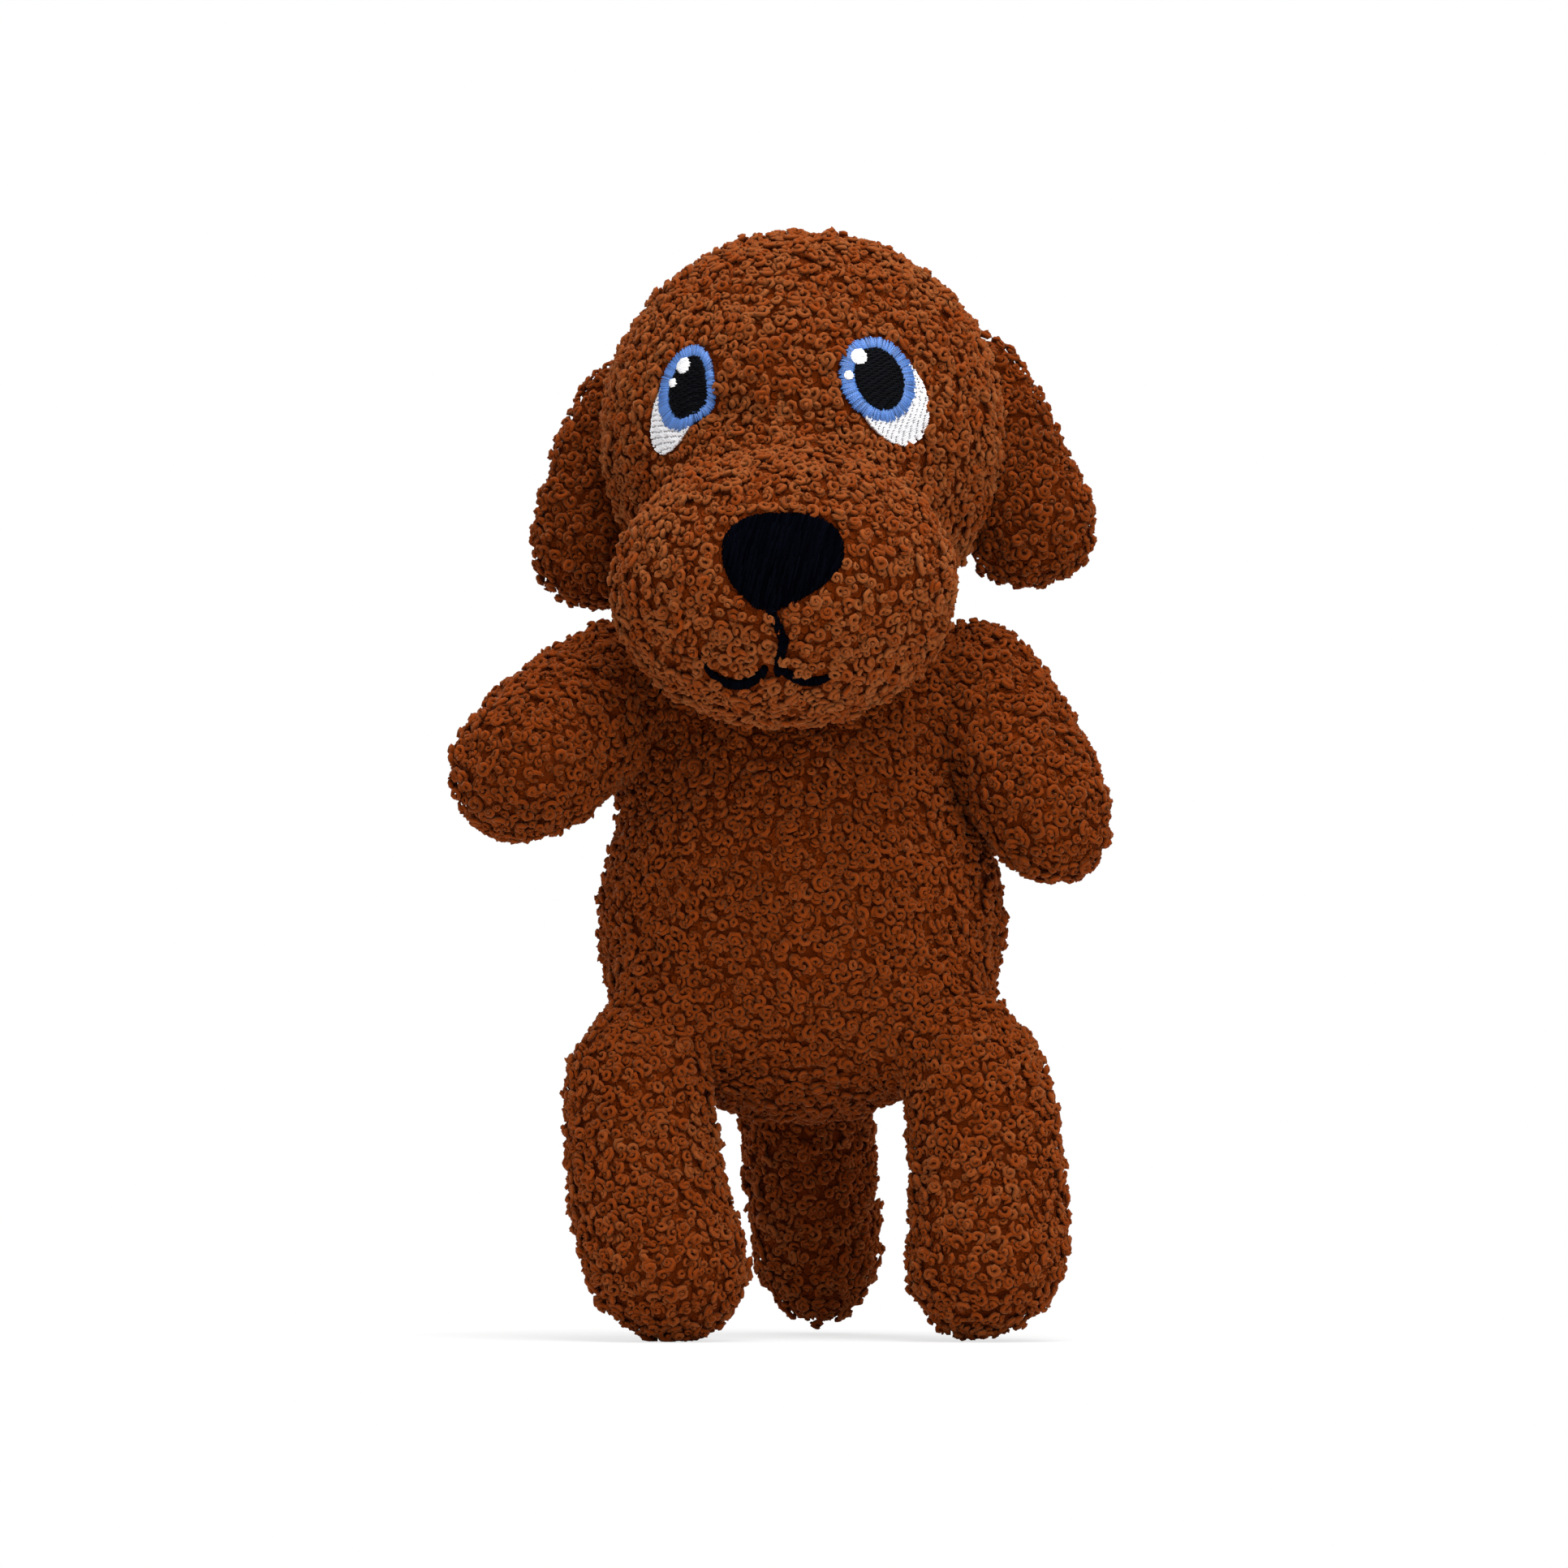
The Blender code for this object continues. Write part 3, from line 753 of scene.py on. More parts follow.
def curl_mesh(curl, fleece, chance):
    """A short length of yarn wound loosely round Z. Its map's X goes round it, and Y from foot to tip."""
    bm = bmesh.new()
    ring = bmesh.ops.create_circle(bm, segments=YARN_SIDES, radius=fleece.yarn)["verts"]
    bmesh.ops.rotate(bm, verts=ring, cent=(0.0, 0.0, 0.0), matrix=Matrix.Rotation(math.pi / 2, 3, "X"))
    bmesh.ops.translate(bm, verts=ring, vec=(curl.radius * fleece.loop, 0.0, fleece.lift))
    bmesh.ops.spin(
        bm,
        geom=ring + bm.edges[:],
        cent=(0.0, 0.0, 0.0),
        axis=(0.0, 0.0, 1.0),
        dvec=(0.0, 0.0, curl.rise * fleece.loop / CURL_STEPS),
        angle=math.radians(curl.turn),
        steps=CURL_STEPS,
    )
    bm.verts.index_update()
    bm.verts.ensure_lookup_table()
    for step in range(CURL_STEPS + 1):
        turned = bm.verts[step * YARN_SIDES : (step + 1) * YARN_SIDES]
        middle = mean_place(turned)
        wind = -curl.inwards * step / CURL_STEPS * Vector((middle.x, middle.y, 0.0))
        stray = Vector([chance.uniform(-1.0, 1.0) for _ in range(3)]) * fleece.yarn * CURL_STRAY
        bmesh.ops.translate(bm, vec=wind + stray, verts=turned)
    for end in (bm.verts[:YARN_SIDES], bm.verts[-YARN_SIDES:]):
        space = Matrix.Translation(-mean_place(end))
        bmesh.ops.scale(bm, vec=(YARN_END, YARN_END, YARN_END), verts=end, space=space)
        bmesh.ops.contextual_create(bm, geom=end)
    course = bm.loops.layers.uv.new(UV_NAME)
    for face in bm.faces:
        corners = [divmod(loop.vert.index, YARN_SIDES) for loop in face.loops]
        closing = max(side for _, side in corners) == YARN_SIDES - 1
        for loop, (step, side) in zip(face.loops, corners):
            around = YARN_SIDES if closing and side == 0 else side
            loop[course].uv = (around / YARN_SIDES, step / CURL_STEPS)
    bmesh.ops.recalc_face_normals(bm, faces=bm.faces)
    return mesh_from(curl.name, bm)


def curl_shapes(fleece):
    """The few curls that the fleece repeats, in a collection that isn't shown."""
    shapes = bpy.data.collections.new("curl shapes")
    material = shared_material("curly fleece", curl_material, fleece)
    chance = random.Random(fleece.seed)
    for curl in CURLS * CURL_COPIES:
        mesh = curl_mesh(curl, fleece, chance)
        mesh.materials.append(material)
        shapes.objects.link(bpy.data.objects.new(f"{curl.name} curl", mesh))
    return shapes


def embroidery_collection():
    return bpy.data.collections.get("embroidery") or bpy.data.collections.new("embroidery")


def random_value(tree, what, low, high, kind="FLOAT"):
    inputs = {"Min": low, "Max": high, "Seed": SCATTER_SEEDS[what]}
    return add_node(tree, "FunctionNodeRandomValue", inputs, data_type=kind)


def named_value(tree, name, kind):
    return add_node(tree, "GeometryNodeInputNamedAttribute", {"Name": name}, data_type=kind)


def stored(tree, geometry, name, value, kind, domain):
    inputs = {"Geometry": geometry, "Name": name, "Value": value}
    return add_node(tree, "GeometryNodeStoreNamedAttribute", inputs, data_type=kind, domain=domain)


def curl_points(tree, given, fleece):
    """Places for the curls of one panel, clear of the embroidery."""
    panel = {"A": named_value(tree, "panel", "INT"), "B": out_of(given, "Panel")}
    scatter = {
        "Mesh": out_of(given, "Skin"),
        "Selection": add_node(tree, "FunctionNodeCompare", panel, data_type="INT", operation="EQUAL"),
        "Distance Min": fleece.spacing,
        "Density Max": fleece.density,
        "Seed": fleece.seed,
    }
    points = add_node(tree, "GeometryNodeDistributePointsOnFaces", scatter, distribute_method="POISSON")
    face = add_node(tree, "GeometryNodeCollectionInfo", {"Collection": embroidery_collection()})
    stitches = add_node(tree, "GeometryNodeRealizeInstances", {"Geometry": face})
    near = add_node(tree, "GeometryNodeProximity", {0: stitches}, target_element="FACES")
    covered = add_math(tree, "LESS_THAN", out_of(near, "Distance"), fleece.face_gap)
    stitched = add_node(tree, "GeometryNodeAttributeDomainSize", {"Geometry": stitches})
    present = add_math(tree, "MINIMUM", out_of(stitched, "Face Count"), 1.0)
    dropped = {"Geometry": points, "Selection": add_math(tree, "MULTIPLY", covered, present)}
    return points, add_node(tree, "GeometryNodeDeleteGeometry", dropped, domain="POINT")


def scatter_group(fleece):
    """Scatters curls over one panel of a skin, and gives each its tint, with the bag's painted light and
    shade.
    """
    inputs = {"Skin": "Geometry", "Panel": "Int", "Paler": "Float"}
    tree, given, made = new_group("curly pile", "GeometryNodeTree", inputs, {"Pile": "Geometry"})
    points, kept = curl_points(tree, given, fleece)

    lift = {0: out_of(points, "Normal"), "Scale": random_value(tree, "lift", -fleece.lift, fleece.lift)}
    rise = add_node(tree, "ShaderNodeVectorMath", lift, operation="SCALE")
    raised = add_node(tree, "GeometryNodeSetPosition", {"Geometry": kept, "Offset": rise})
    place = add_node(tree, "GeometryNodeInputPosition")
    patch = add_node(tree, "ShaderNodeTexNoise", {"Vector": place, "Scale": PLACE_SCALE, "Detail": 2.0})
    tint = add_mix(tree, PLACE_SHARE, random_value(tree, "tint", *OWN_TINT), patch)
    # Painted light and shade: the bag's share is added to the tint, paler on the head, darker under it and
    # at the sides
    painted_light_tint = add_math(tree, "ADD", tint, out_of(given, "Paler"), use_clamp=True)
    tinted = stored(tree, raised, "tint", painted_light_tint, "FLOAT", "POINT")

    most = Vector((fleece.tilt, fleece.tilt, math.pi))
    lean = add_node(
        tree, "FunctionNodeEulerToRotation", {0: random_value(tree, "lean", -most, most, "FLOAT_VECTOR")}
    )
    turned = {0: out_of(points, "Rotation"), 1: lean}
    shapes = {"Collection": curl_shapes(fleece), "Separate Children": True, "Reset Children": True}
    instances = {
        "Points": tinted,
        "Instance": add_node(tree, "GeometryNodeCollectionInfo", shapes),
        "Pick Instance": True,
        "Instance Index": random_value(tree, "shape", 0, len(CURLS) * CURL_COPIES - 1, "INT"),
        "Rotation": add_node(tree, "FunctionNodeRotateRotation", turned, rotation_space="LOCAL"),
        "Scale": random_value(tree, "size", fleece.smallest, fleece.largest),
    }
    curls = add_node(tree, "GeometryNodeInstanceOnPoints", instances)
    real = add_node(tree, "GeometryNodeRealizeInstances", {"Geometry": curls})

    # The floor presses the lowest curls flat
    spot = add_split(tree, add_node(tree, "GeometryNodeInputPosition"))
    floor = add_math(tree, "MAXIMUM", out_of(spot, "Z"), 0.0)
    pressed = {"X": out_of(spot, "X"), "Y": out_of(spot, "Y"), "Z": floor}
    settled = {"Geometry": real, "Position": add_node(tree, "ShaderNodeCombineXYZ", pressed)}
    pile = add_node(tree, "GeometryNodeSetPosition", settled)

    course = add_split(tree, named_value(tree, UV_NAME, "FLOAT_VECTOR"))
    strip = add_mix(tree, ROUND_SHARE, named_value(tree, "tint", "FLOAT"), out_of(course, "X"))
    on_map = add_node(tree, "ShaderNodeCombineXYZ", {"X": strip, "Y": out_of(course, "Y")})
    mapped = stored(tree, pile, UV_NAME, on_map, "FLOAT2", "CORNER")
    plain = add_node(tree, "GeometryNodeRemoveAttribute", {"Geometry": mapped, "Name": "tint"})
    feed(tree, made, {"Pile": plain})
    return tree


def grow_pile(body, panel_names):
    """One piece of curls for each panel of a body's skin."""
    fleece = bpy.context.scene.plush_fleece
    skin = bpy.data.objects[f"{body}_cover"]
    tree = bpy.data.node_groups.get("curly pile") or scatter_group(fleece)
    sockets = {item.name: item.identifier for item in tree.interface.items_tree}
    for number, name in enumerate(panel_names):
        pile = mesh_object(f"{name}_curls", skin.data.copy())
        scatter = pile.modifiers.new("pile", "NODES")
        scatter.node_group = tree
        scatter[sockets["Panel"]] = number
        # This bag's painted light and shade on its curls
        scatter[sockets["Paler"]] = PAINTED_LIGHT_AND_SHADE.get(body, 0.0)
        bake_modifiers(pile)
        if not pile.data.polygons:
            raise RuntimeError(f"no curls grew on {name}")
        pile.data.shade_smooth()
        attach(pile, body)


# Embroidery


class Patch:
    """A flat plan for stitches, laid on the head's skin along the way that it faces."""

    def __init__(self, middle, out):
        self.tree = skin_tree("head")
        self.middle = middle
        self.out = out.normalized()
        self.across = Vector((0.0, 0.0, 1.0)).cross(self.out).normalized()
        self.up = self.out.cross(self.across)
        self.reach = self.out * (CAD_BOX[1] - CAD_BOX[0]).y

    def lay(self, point, height):
        """The point of the plan at this height over the skin, and the way out there."""
        plan = self.middle + self.across * point.x + self.up * point.y
        place, normal, _, _ = self.tree.ray_cast(plan + self.reach, -self.out)
        if place is None:
            place, normal, _, _ = self.tree.find_nearest(plan)
        return place + normal * height, normal

    def span(self, node):
        """Where a CAD node lies on the plan: its lowest and highest corner."""
        places = [vert.co - self.middle for vert in frame["nodes"][node].data.vertices]
        across = [place.dot(self.across) for place in places]
        up = [place.dot(self.up) for place in places]
        return Vector((min(across), min(up))), Vector((max(across), max(up)))


class Oval:
    """An ellipse on the plan."""

    def __init__(self, middle, half_size, tilt=0.0):
        self.middle = Vector(middle)
        self.half_size = half_size
        self.turn = Matrix.Rotation(tilt, 2)
        self.reach = max(half_size)

    @classmethod
    def of_node(cls, patch, node, tilt=0.0, width=1.0, shift=Vector((0.0, 0.0))):
        """The ellipse that a CAD node fills on the plan, made narrower and moved."""
        low, high = patch.span(node)
        half_size = (high - low) / 2
        return cls((low + high) / 2 + shift, (half_size.x * width, half_size.y), tilt)

    def at(self, angle, share=1.0):
        """The point this far round, and this share of the way out to the edge."""
        offset = Vector((self.half_size[0] * math.cos(angle), self.half_size[1] * math.sin(angle)))
        return self.middle + self.turn @ offset * share

    def share(self, point):
        """How far out a point is, from 0 in the middle to 1 on the edge."""
        offset = self.turn.transposed() @ (point - self.middle)
        return math.hypot(offset.x / self.half_size[0], offset.y / self.half_size[1])


# How square the nose's dome is, where 2 is an ellipse, and how thin its tip gets at most
DOME = 2.6
LEAST_TIP = 0.05


class Shield:
    """The nose's outline on the plan: a low dome above, shoulders at the widest, and a tip that leans."""

    def __init__(self, low, high, shoulder, taper, lean):
        self.middle = Vector(((low.x + high.x) / 2, low.y + (high.y - low.y) * shoulder))
        self.half_width = (high.x - low.x) / 2
        self.rise = high.y - self.middle.y
        self.drop = self.middle.y - low.y
        self.taper = taper
        self.lean = lean
        self.reach = (high - low).length / 2

    def at(self, angle, share=1.0):
        across = math.cos(angle) * share
        up = math.sin(angle) * share
        if up >= 0.0:
            full = (abs(across) ** DOME + up**DOME) ** (1.0 / DOME) / max(share, TINY)
            return self.middle + Vector((self.half_width * across, self.rise * up)) / max(full, TINY)
        across *= 1.0 - self.taper * up * up
        return self.middle + Vector((self.half_width * across + self.lean * up * up, self.drop * up))

    def share(self, point):
        offset = point - self.middle
        if offset.y >= 0.0:
            corner = (abs(offset.x) / self.half_width) ** DOME + (offset.y / self.rise) ** DOME
            return corner ** (1.0 / DOME)
        up = offset.y / self.drop
        width = self.half_width * max(LEAST_TIP, 1.0 - self.taper * up * up)
        return math.hypot((offset.x - self.lean * up * up) / width, up)


THREAD_SIDES = 6
# Each ring of a stitch: its place along the stitch, its dip under the top, and its size
THREAD_RINGS = ((-0.5, -1.0, 0.6), (-0.4, 0.0, 1.0), (0.0, 0.15, 1.0), (0.4, 0.0, 1.0), (0.5, -1.0, 0.6))


def stitch_mesh():
    """One stitch of unit length, width and height, which dives into the cloth at both ends."""
    bm = bmesh.new()
    bmesh.ops.create_circle(bm, segments=THREAD_SIDES, radius=0.5)
    bmesh.ops.rotate(bm, verts=bm.verts, matrix=Matrix.Rotation(math.pi / 2, 3, "Y"))
    rings = [bm.verts[:]]
    edges = bm.edges[:]
    for _ in THREAD_RINGS[1:]:
        grown = bmesh.ops.extrude_edge_only(bm, edges=edges)["geom"]
        edges = [item for item in grown if isinstance(item, bmesh.types.BMEdge)]
        edges = [edge for edge in edges if all(vert in grown for vert in edge.verts)]
        rings.append([item for item in grown if isinstance(item, bmesh.types.BMVert)])
    for ring, (along, dip, size) in zip(rings, THREAD_RINGS):
        bmesh.ops.scale(bm, vec=(1.0, size, size), verts=ring)
        bmesh.ops.translate(bm, vec=(along, 0.0, dip), verts=ring)
    for ring in (rings[0], rings[-1]):
        bmesh.ops.contextual_create(bm, geom=ring)
    bmesh.ops.recalc_face_normals(bm, faces=bm.faces)
    course = bm.loops.layers.uv.new(UV_NAME)
    for face in bm.faces:
        for loop in face.loops:
            loop[course].uv = (loop.vert.co.y + 0.5, loop.vert.co.x + 0.5)
    return mesh_from("stitch", bm)


class Work(NamedTuple):
    """How one kind of patch is worked."""

    # Height over the lowest patch, in threads, and the start of its stitches' small differences
    layer: float
    seed: int
    # Its fill stitches: their slant in degrees, their length in usual stitches, and the gap between two
    slant: float = 0.0
    length: float = 1.0
    gap: float = 0.0
    # Height over the skin, as a share of the usual rise
    rise: float = 1.0


WORKS = {
    "white": Work(0.0, 0, 36.0, 0.6, 0.00048),
    "iris": Work(0.5, 10),
    "pupil": Work(0.9, 20, 12.0, 1.0, 0.0001),
    "glint": Work(1.7, 30, 8.0, 2.0),
    "spark": Work(1.7, 30, 8.0, 2.0),
    "nose": Work(0.0, 50, 76.0, 1.8, 0.0001),
    "mouth_line": Work(0.0, 60),
    "smile": Work(0.0, 70, rise=0.7),
}
# A pad: its sides, its size in its outline, its place on the map, and how far it lies under the stitches,
# in threads. The white's pad is ground cloth, and lies deeper.
PAD_SIDES = 36
SMALL_PAD_SIDES = 12
PAD_SIZE = 0.97
PAD_MAP = (0.3, 0.5)
PAD_UNDER = 0.5
WHITE_PAD_UNDER = 1.5
# The dome that an eye is stitched on, in irises, and the share of its height that a dome's edge loses
EYE_DOME = 1.5
EDGE_DROP = 0.4
# Rows of stitches: their pitch in threads, their first stitch and their shortest one in stitches, how many
# rows start in different places, how far the ends and widths stray, and how far they run under a neighbour
ROW_PITCH = 0.9
FIRST_STITCH = 0.3
SHORT_STITCH = 0.35
ROW_STARTS = 3
END_STRAY = 0.00018
WIDTH_STRAY = 0.1
TUCK = 0.93
# The share of a stitch's tint that changes across it
TINT_ACROSS = 0.1
# A ring of stitches: their pitch and width in threads, where they start, and their stray in steps, at the
# inner end, in angle and at the outer end
RING_PITCH = 0.6
RING_WIDTH = 0.85
RING_START = 0.95
RING_STRAY = (0.3, 0.06, 0.02, 0.04)
# A line's stitches: their pitch and lean in threads, and how far they stray across the line
LINE_PITCH = 0.8
LINE_LEAN = 0.4
LINE_STRAY = 0.12


class Embroidery:
    """One patch of thread: a pad with stitches over it."""

    def __init__(self, patch, kind, number=0, dome=None):
        self.thread = bpy.context.scene.plush_thread
        self.patch = patch
        self.work = WORKS[kind]
        self.dome = dome
        self.chance = random.Random(self.thread.seed + self.work.seed + number)
        self.template = bpy.data.meshes.get("stitch") or stitch_mesh()
        self.bm = bmesh.new()
        self.course = self.bm.loops.layers.uv.new(UV_NAME)

    def level(self, point):
        """Height over the skin: lower at the edge of the dome, higher with each layer."""
        share = min(self.dome.share(point), 1.0) if self.dome else 0.0
        height = self.thread.raise_by * self.work.rise * (1.0 - EDGE_DROP * share**4)
        return height + self.work.layer * self.thread.height

    def jitter(self, amount):
        return self.chance.uniform(-amount, amount)

    def pad(self, outline, segments=PAD_SIDES, under=PAD_UNDER, material=0):
        """A flat cushion of the outline's shape, from the skin up to just under the stitches."""
        made = bmesh.ops.create_uvsphere(
            self.bm, u_segments=segments, v_segments=segments // 3, radius=1.0
        )["verts"]
        sink = under * self.thread.height
        for vert in made:
            share = math.hypot(vert.co.x, vert.co.y)
            point = outline.at(math.atan2(vert.co.y, vert.co.x), share * PAD_SIZE)
            height = self.level(point) - sink if vert.co.z > 0.0 else 0.0
            vert.co = self.patch.lay(point, height)[0]
        for face in {face for vert in made for face in vert.link_faces}:
            face.material_index = material
            for loop in face.loops:
                loop[self.course].uv = PAD_MAP

    def stitch(self, start, end, width=1.0):
        first, out_first = self.patch.lay(start, self.level(start))
        last, out_last = self.patch.lay(end, self.level(end))
        along = last - first
        side = (out_first + out_last).cross(along).normalized() * self.thread.width * width
        rise = along.cross(side).normalized() * self.thread.height
        place = Matrix((along, side, rise)).transposed().to_4x4()
        place.translation = (first + last) / 2
        tint = self.chance.uniform(0.0, 1.0 - TINT_ACROSS)
        stitch = self.template.copy()
        stitch.transform(place)
        for corner in stitch.uv_layers[UV_NAME].data:
            corner.uv.x = tint + TINT_ACROSS * corner.uv.x
        self.bm.from_mesh(stitch)
        bpy.data.meshes.remove(stitch)

    def fill(self, outline, mirror=1.0, clear_of=None):
        """Rows of stitches across the outline, each row's needle holes beside the middle of the next."""
        slant = mirror * math.radians(self.work.slant)
        along = Vector((math.cos(slant), math.sin(slant)))
        aside = Vector((-along.y, along.x))
        length = self.thread.stitch * self.work.length
        pitch = self.thread.width * ROW_PITCH
        rows = math.ceil(outline.reach / pitch)
        for row in range(-rows, rows + 1):
            middle = outline.middle + aside * row * pitch
            for low, high in self.runs(outline, middle, along, clear_of):
                low += self.jitter(END_STRAY)
                high += self.jitter(END_STRAY)
                stop = low + length * (FIRST_STITCH + (row % ROW_STARTS) / ROW_STARTS)
                while low < high:
                    if high - stop < length * SHORT_STITCH:
                        stop = high
                    ends = [middle + along * place for place in (low, stop)]
                    self.stitch(*ends, 1.0 + self.jitter(WIDTH_STRAY))
                    low = stop + self.work.gap
                    stop = low + length

    def runs(self, outline, middle, along, clear_of):
        """The stretches of a row that lie inside the outline, and outside the other one."""
        step = self.thread.width / 2
        count = math.ceil(2.0 * outline.reach / step)
        start = None
        for number in range(-count, count + 1):
            place = number * step
            point = middle + along * place
            inside = outline.share(point) < 1.0 and not (clear_of and clear_of.share(point) < TUCK)
            if inside and start is None:
                start = place
            if not inside and start is not None:
                yield start, place
                start = None

    def ring(self, outer, inner):
        """Stitches that run outwards all round a ring, with ragged ends."""
        step_stray, near_stray, angle_stray, far_stray = RING_STRAY
        count = math.ceil(math.tau * outer.reach / (self.thread.width * RING_PITCH))
        for number in range(count):
            angle = math.tau * (number + self.jitter(step_stray)) / count
            near = inner.at(angle, RING_START + self.jitter(near_stray))
            far = outer.at(angle + self.jitter(angle_stray), 1.0 + self.jitter(far_stray))
            self.stitch(near, far, RING_WIDTH)

    def stroke(self, points, full_width, thinning=0.0):
        """Short stitches side by side across a line, over a row of small pads. Its end may be thin."""
        places = [number / (len(points) - 1) for number in range(len(points))]
        widths = [full_width * (1.0 - thinning * place**3) for place in places]
        for point, width in zip(points, widths):
            self.pad(Oval(point, (width / 2, width / 2)), segments=SMALL_PAD_SIDES)
        for start, end, width in zip(points, points[1:], widths):
            length = (end - start).length
            along = (end - start) / length
            aside = Vector((-along.y, along.x)) * width / 2
            lean = along * self.thread.width * LINE_LEAN
            count = math.ceil(length / (self.thread.width * LINE_PITCH))
            for number in range(count):
                middle = start + along * length * number / count
                shift = aside * self.jitter(LINE_STRAY)
                self.stitch(middle - aside - lean + shift, middle + aside + lean + shift)

    def finish(self, node, material):
        """Makes the patch a piece of the head, in place of its CAD node."""
        piece = mesh_object(f"{node}_stitches", mesh_from(f"{node}_stitches", self.bm), material)
        piece.data.materials.append(bpy.data.materials["fleece ground"])
        embroidery_collection().objects.link(piece)
        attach(piece, "head")
        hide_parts(node)


def face_patch():
    """The plan that the nose and mouth are drawn on: it faces the way the head looks."""
    across = middle_of("left_eye_iris") - middle_of("right_eye_iris")
    return Patch(middle_of("nose"), across.cross(Vector((0.0, 0.0, 1.0))))


class OBJECT_OT_plush_eyes(bpy.types.Operator):
    """Embroiders both eyes"""

    bl_idname = "object.plush_eyes"
    bl_label = "Eyes"

    def execute(self, context):
        thread = context.scene.plush_thread
        head = middle_of("head_front_panel", "head_back_panel")
        for number, side in enumerate(SIDES):
            eye = f"{side}_eye_"
            near = side == "left"
            turn = 1.0 if near else -1.0
            middle = middle_of(f"{eye}iris")
            patch = Patch(middle, middle - head)
            width = 1.0 if near else thread.far_width
            shift = Vector((0.0 if near else -thread.far_shift, thread.eye_rise))
            look = Vector((0.0 if near else thread.far_pupil, 0.0))
            tilt = turn * thread.iris_tilt
            iris = Oval.of_node(patch, f"{eye}iris", tilt, width, shift)
            pupil = Oval.of_node(patch, f"{eye}pupil", tilt, width, shift + look)
            white_width = 1.0 if near else width * thread.far_white
            white_place = iris.middle + Vector((turn * thread.white_aside * white_width, -thread.white_drop))
            white_size = (thread.white_half_width * white_width, thread.white_half_height)
            white = Oval(white_place, white_size, turn * thread.white_tilt)
            dome = Oval(iris.middle, [half * EYE_DOME for half in iris.half_size])

            work = Embroidery(patch, "white", number, dome)
            work.pad(white, under=WHITE_PAD_UNDER, material=1)
            work.fill(white, turn, iris)
            work.finish(f"{eye}white", thread_of("white"))

            work = Embroidery(patch, "iris", number, dome)
            work.pad(iris)
            work.ring(iris, pupil)
            work.finish(f"{eye}iris", thread_of("blue"))

            work = Embroidery(patch, "pupil", number, dome)
            work.pad(pupil)
            work.fill(pupil)
            work.finish(f"{eye}pupil", thread_of("glossy black"))

            for part in ("glint", "spark"):
                aside = Vector((thread.glint_aside, thread.eye_rise / 2))
                spot = Oval.of_node(patch, f"{eye}{part}", shift=aside)
                work = Embroidery(patch, part, number, dome)
                work.pad(spot)
                work.fill(spot)
                work.finish(f"{eye}{part}", thread_of("white"))
        return {"FINISHED"}


class OBJECT_OT_plush_nose(bpy.types.Operator):
    """Embroiders the nose"""

    bl_idname = "object.plush_nose"
    bl_label = "Nose"

    def execute(self, context):
        thread = context.scene.plush_thread
        patch = face_patch()
        rise = Vector((0.0, thread.nose_rise))
        low, high = [corner + rise for corner in patch.span("nose")]
        outline = Shield(low, high, shoulder=0.58, taper=0.35, lean=-thread.nose_lean)
        work = Embroidery(patch, "nose", dome=outline)
        work.pad(outline)
        work.fill(outline)
        work.finish("nose", thread_of("black"))
        return {"FINISHED"}


# The line under the nose: its width in strokes, and its bends at half way and at the end
MOUTH_LINE_WIDTH = 1.2
HALF_WAY_BEND = 0.8
END_BEND = 0.3
SMILE_STEPS = 10
SMILE_THINNING = 0.8


def arc_points(middle, radius, start, stop):
    angles = [start + (stop - start) * step / SMILE_STEPS for step in range(SMILE_STEPS + 1)]
    return [middle + Vector((math.cos(angle), math.sin(angle))) * radius for angle in angles]


class OBJECT_OT_plush_mouth(bpy.types.Operator):
    """Embroiders the line under the nose and both halves of the smile"""

    bl_idname = "object.plush_mouth"
    bl_label = "Mouth"

    def execute(self, context):
        thread = context.scene.plush_thread
        patch = face_patch()
        low, high = patch.span("mouth_line")
        middle = (low.x + high.x) / 2 - thread.nose_lean
        bend = Vector((thread.nose_lean * HALF_WAY_BEND, 0.0))
        top = Vector((middle, high.y + thread.stroke))
        bottom = Vector((middle, low.y + thread.mouth_rise))
        points = [top, (top + bottom) / 2 + bend, bottom + bend * END_BEND]
        work = Embroidery(patch, "mouth_line")
        work.stroke(points, thread.stroke * MOUTH_LINE_WIDTH)
        work.finish("mouth_line", thread_of("black"))
        for number, side in enumerate(SIDES):
            low, high = patch.span(f"{side}_smile")
            height = low.y + thread.stroke / 2 + thread.mouth_rise
            lowest = Vector(((low.x + high.x) / 2 - thread.smile_aside, height))
            centre = lowest + Vector((0.0, thread.smile_radius))
            turn = 1.0 if side == "left" else -1.0
            shown = thread.smile_shown if side == "left" else 1.0
            down = -math.pi / 2
            inner = down - turn * thread.smile_inwards
            outer = down + turn * thread.smile_outwards * shown
            work = Embroidery(patch, "smile", number)
            work.stroke(arc_points(centre, thread.smile_radius, inner, outer), thread.stroke, SMILE_THINNING)
            work.finish(f"{side}_smile", thread_of("black"))
        return {"FINISHED"}


# Stage

FLOOR_HALF = 6.0
# How plain the floor is under the dog, where it takes the shadow, and where that turns to all plain white
PLAIN_SHARE = 0.7
FADE = (0.1, 0.35)
# Each light's place from the aim, and its width
LIGHTS = {
    "top": ((0.1, -0.35, 1.1), 0.9),
    "front": ((0.5, -1.2, 0.6), 0.8),
    "back": ((-0.5, 1.2, 0.6), 0.8),
}
CLIP_START = 0.01
WHITE = (1.0, 1.0, 1.0, 1.0)


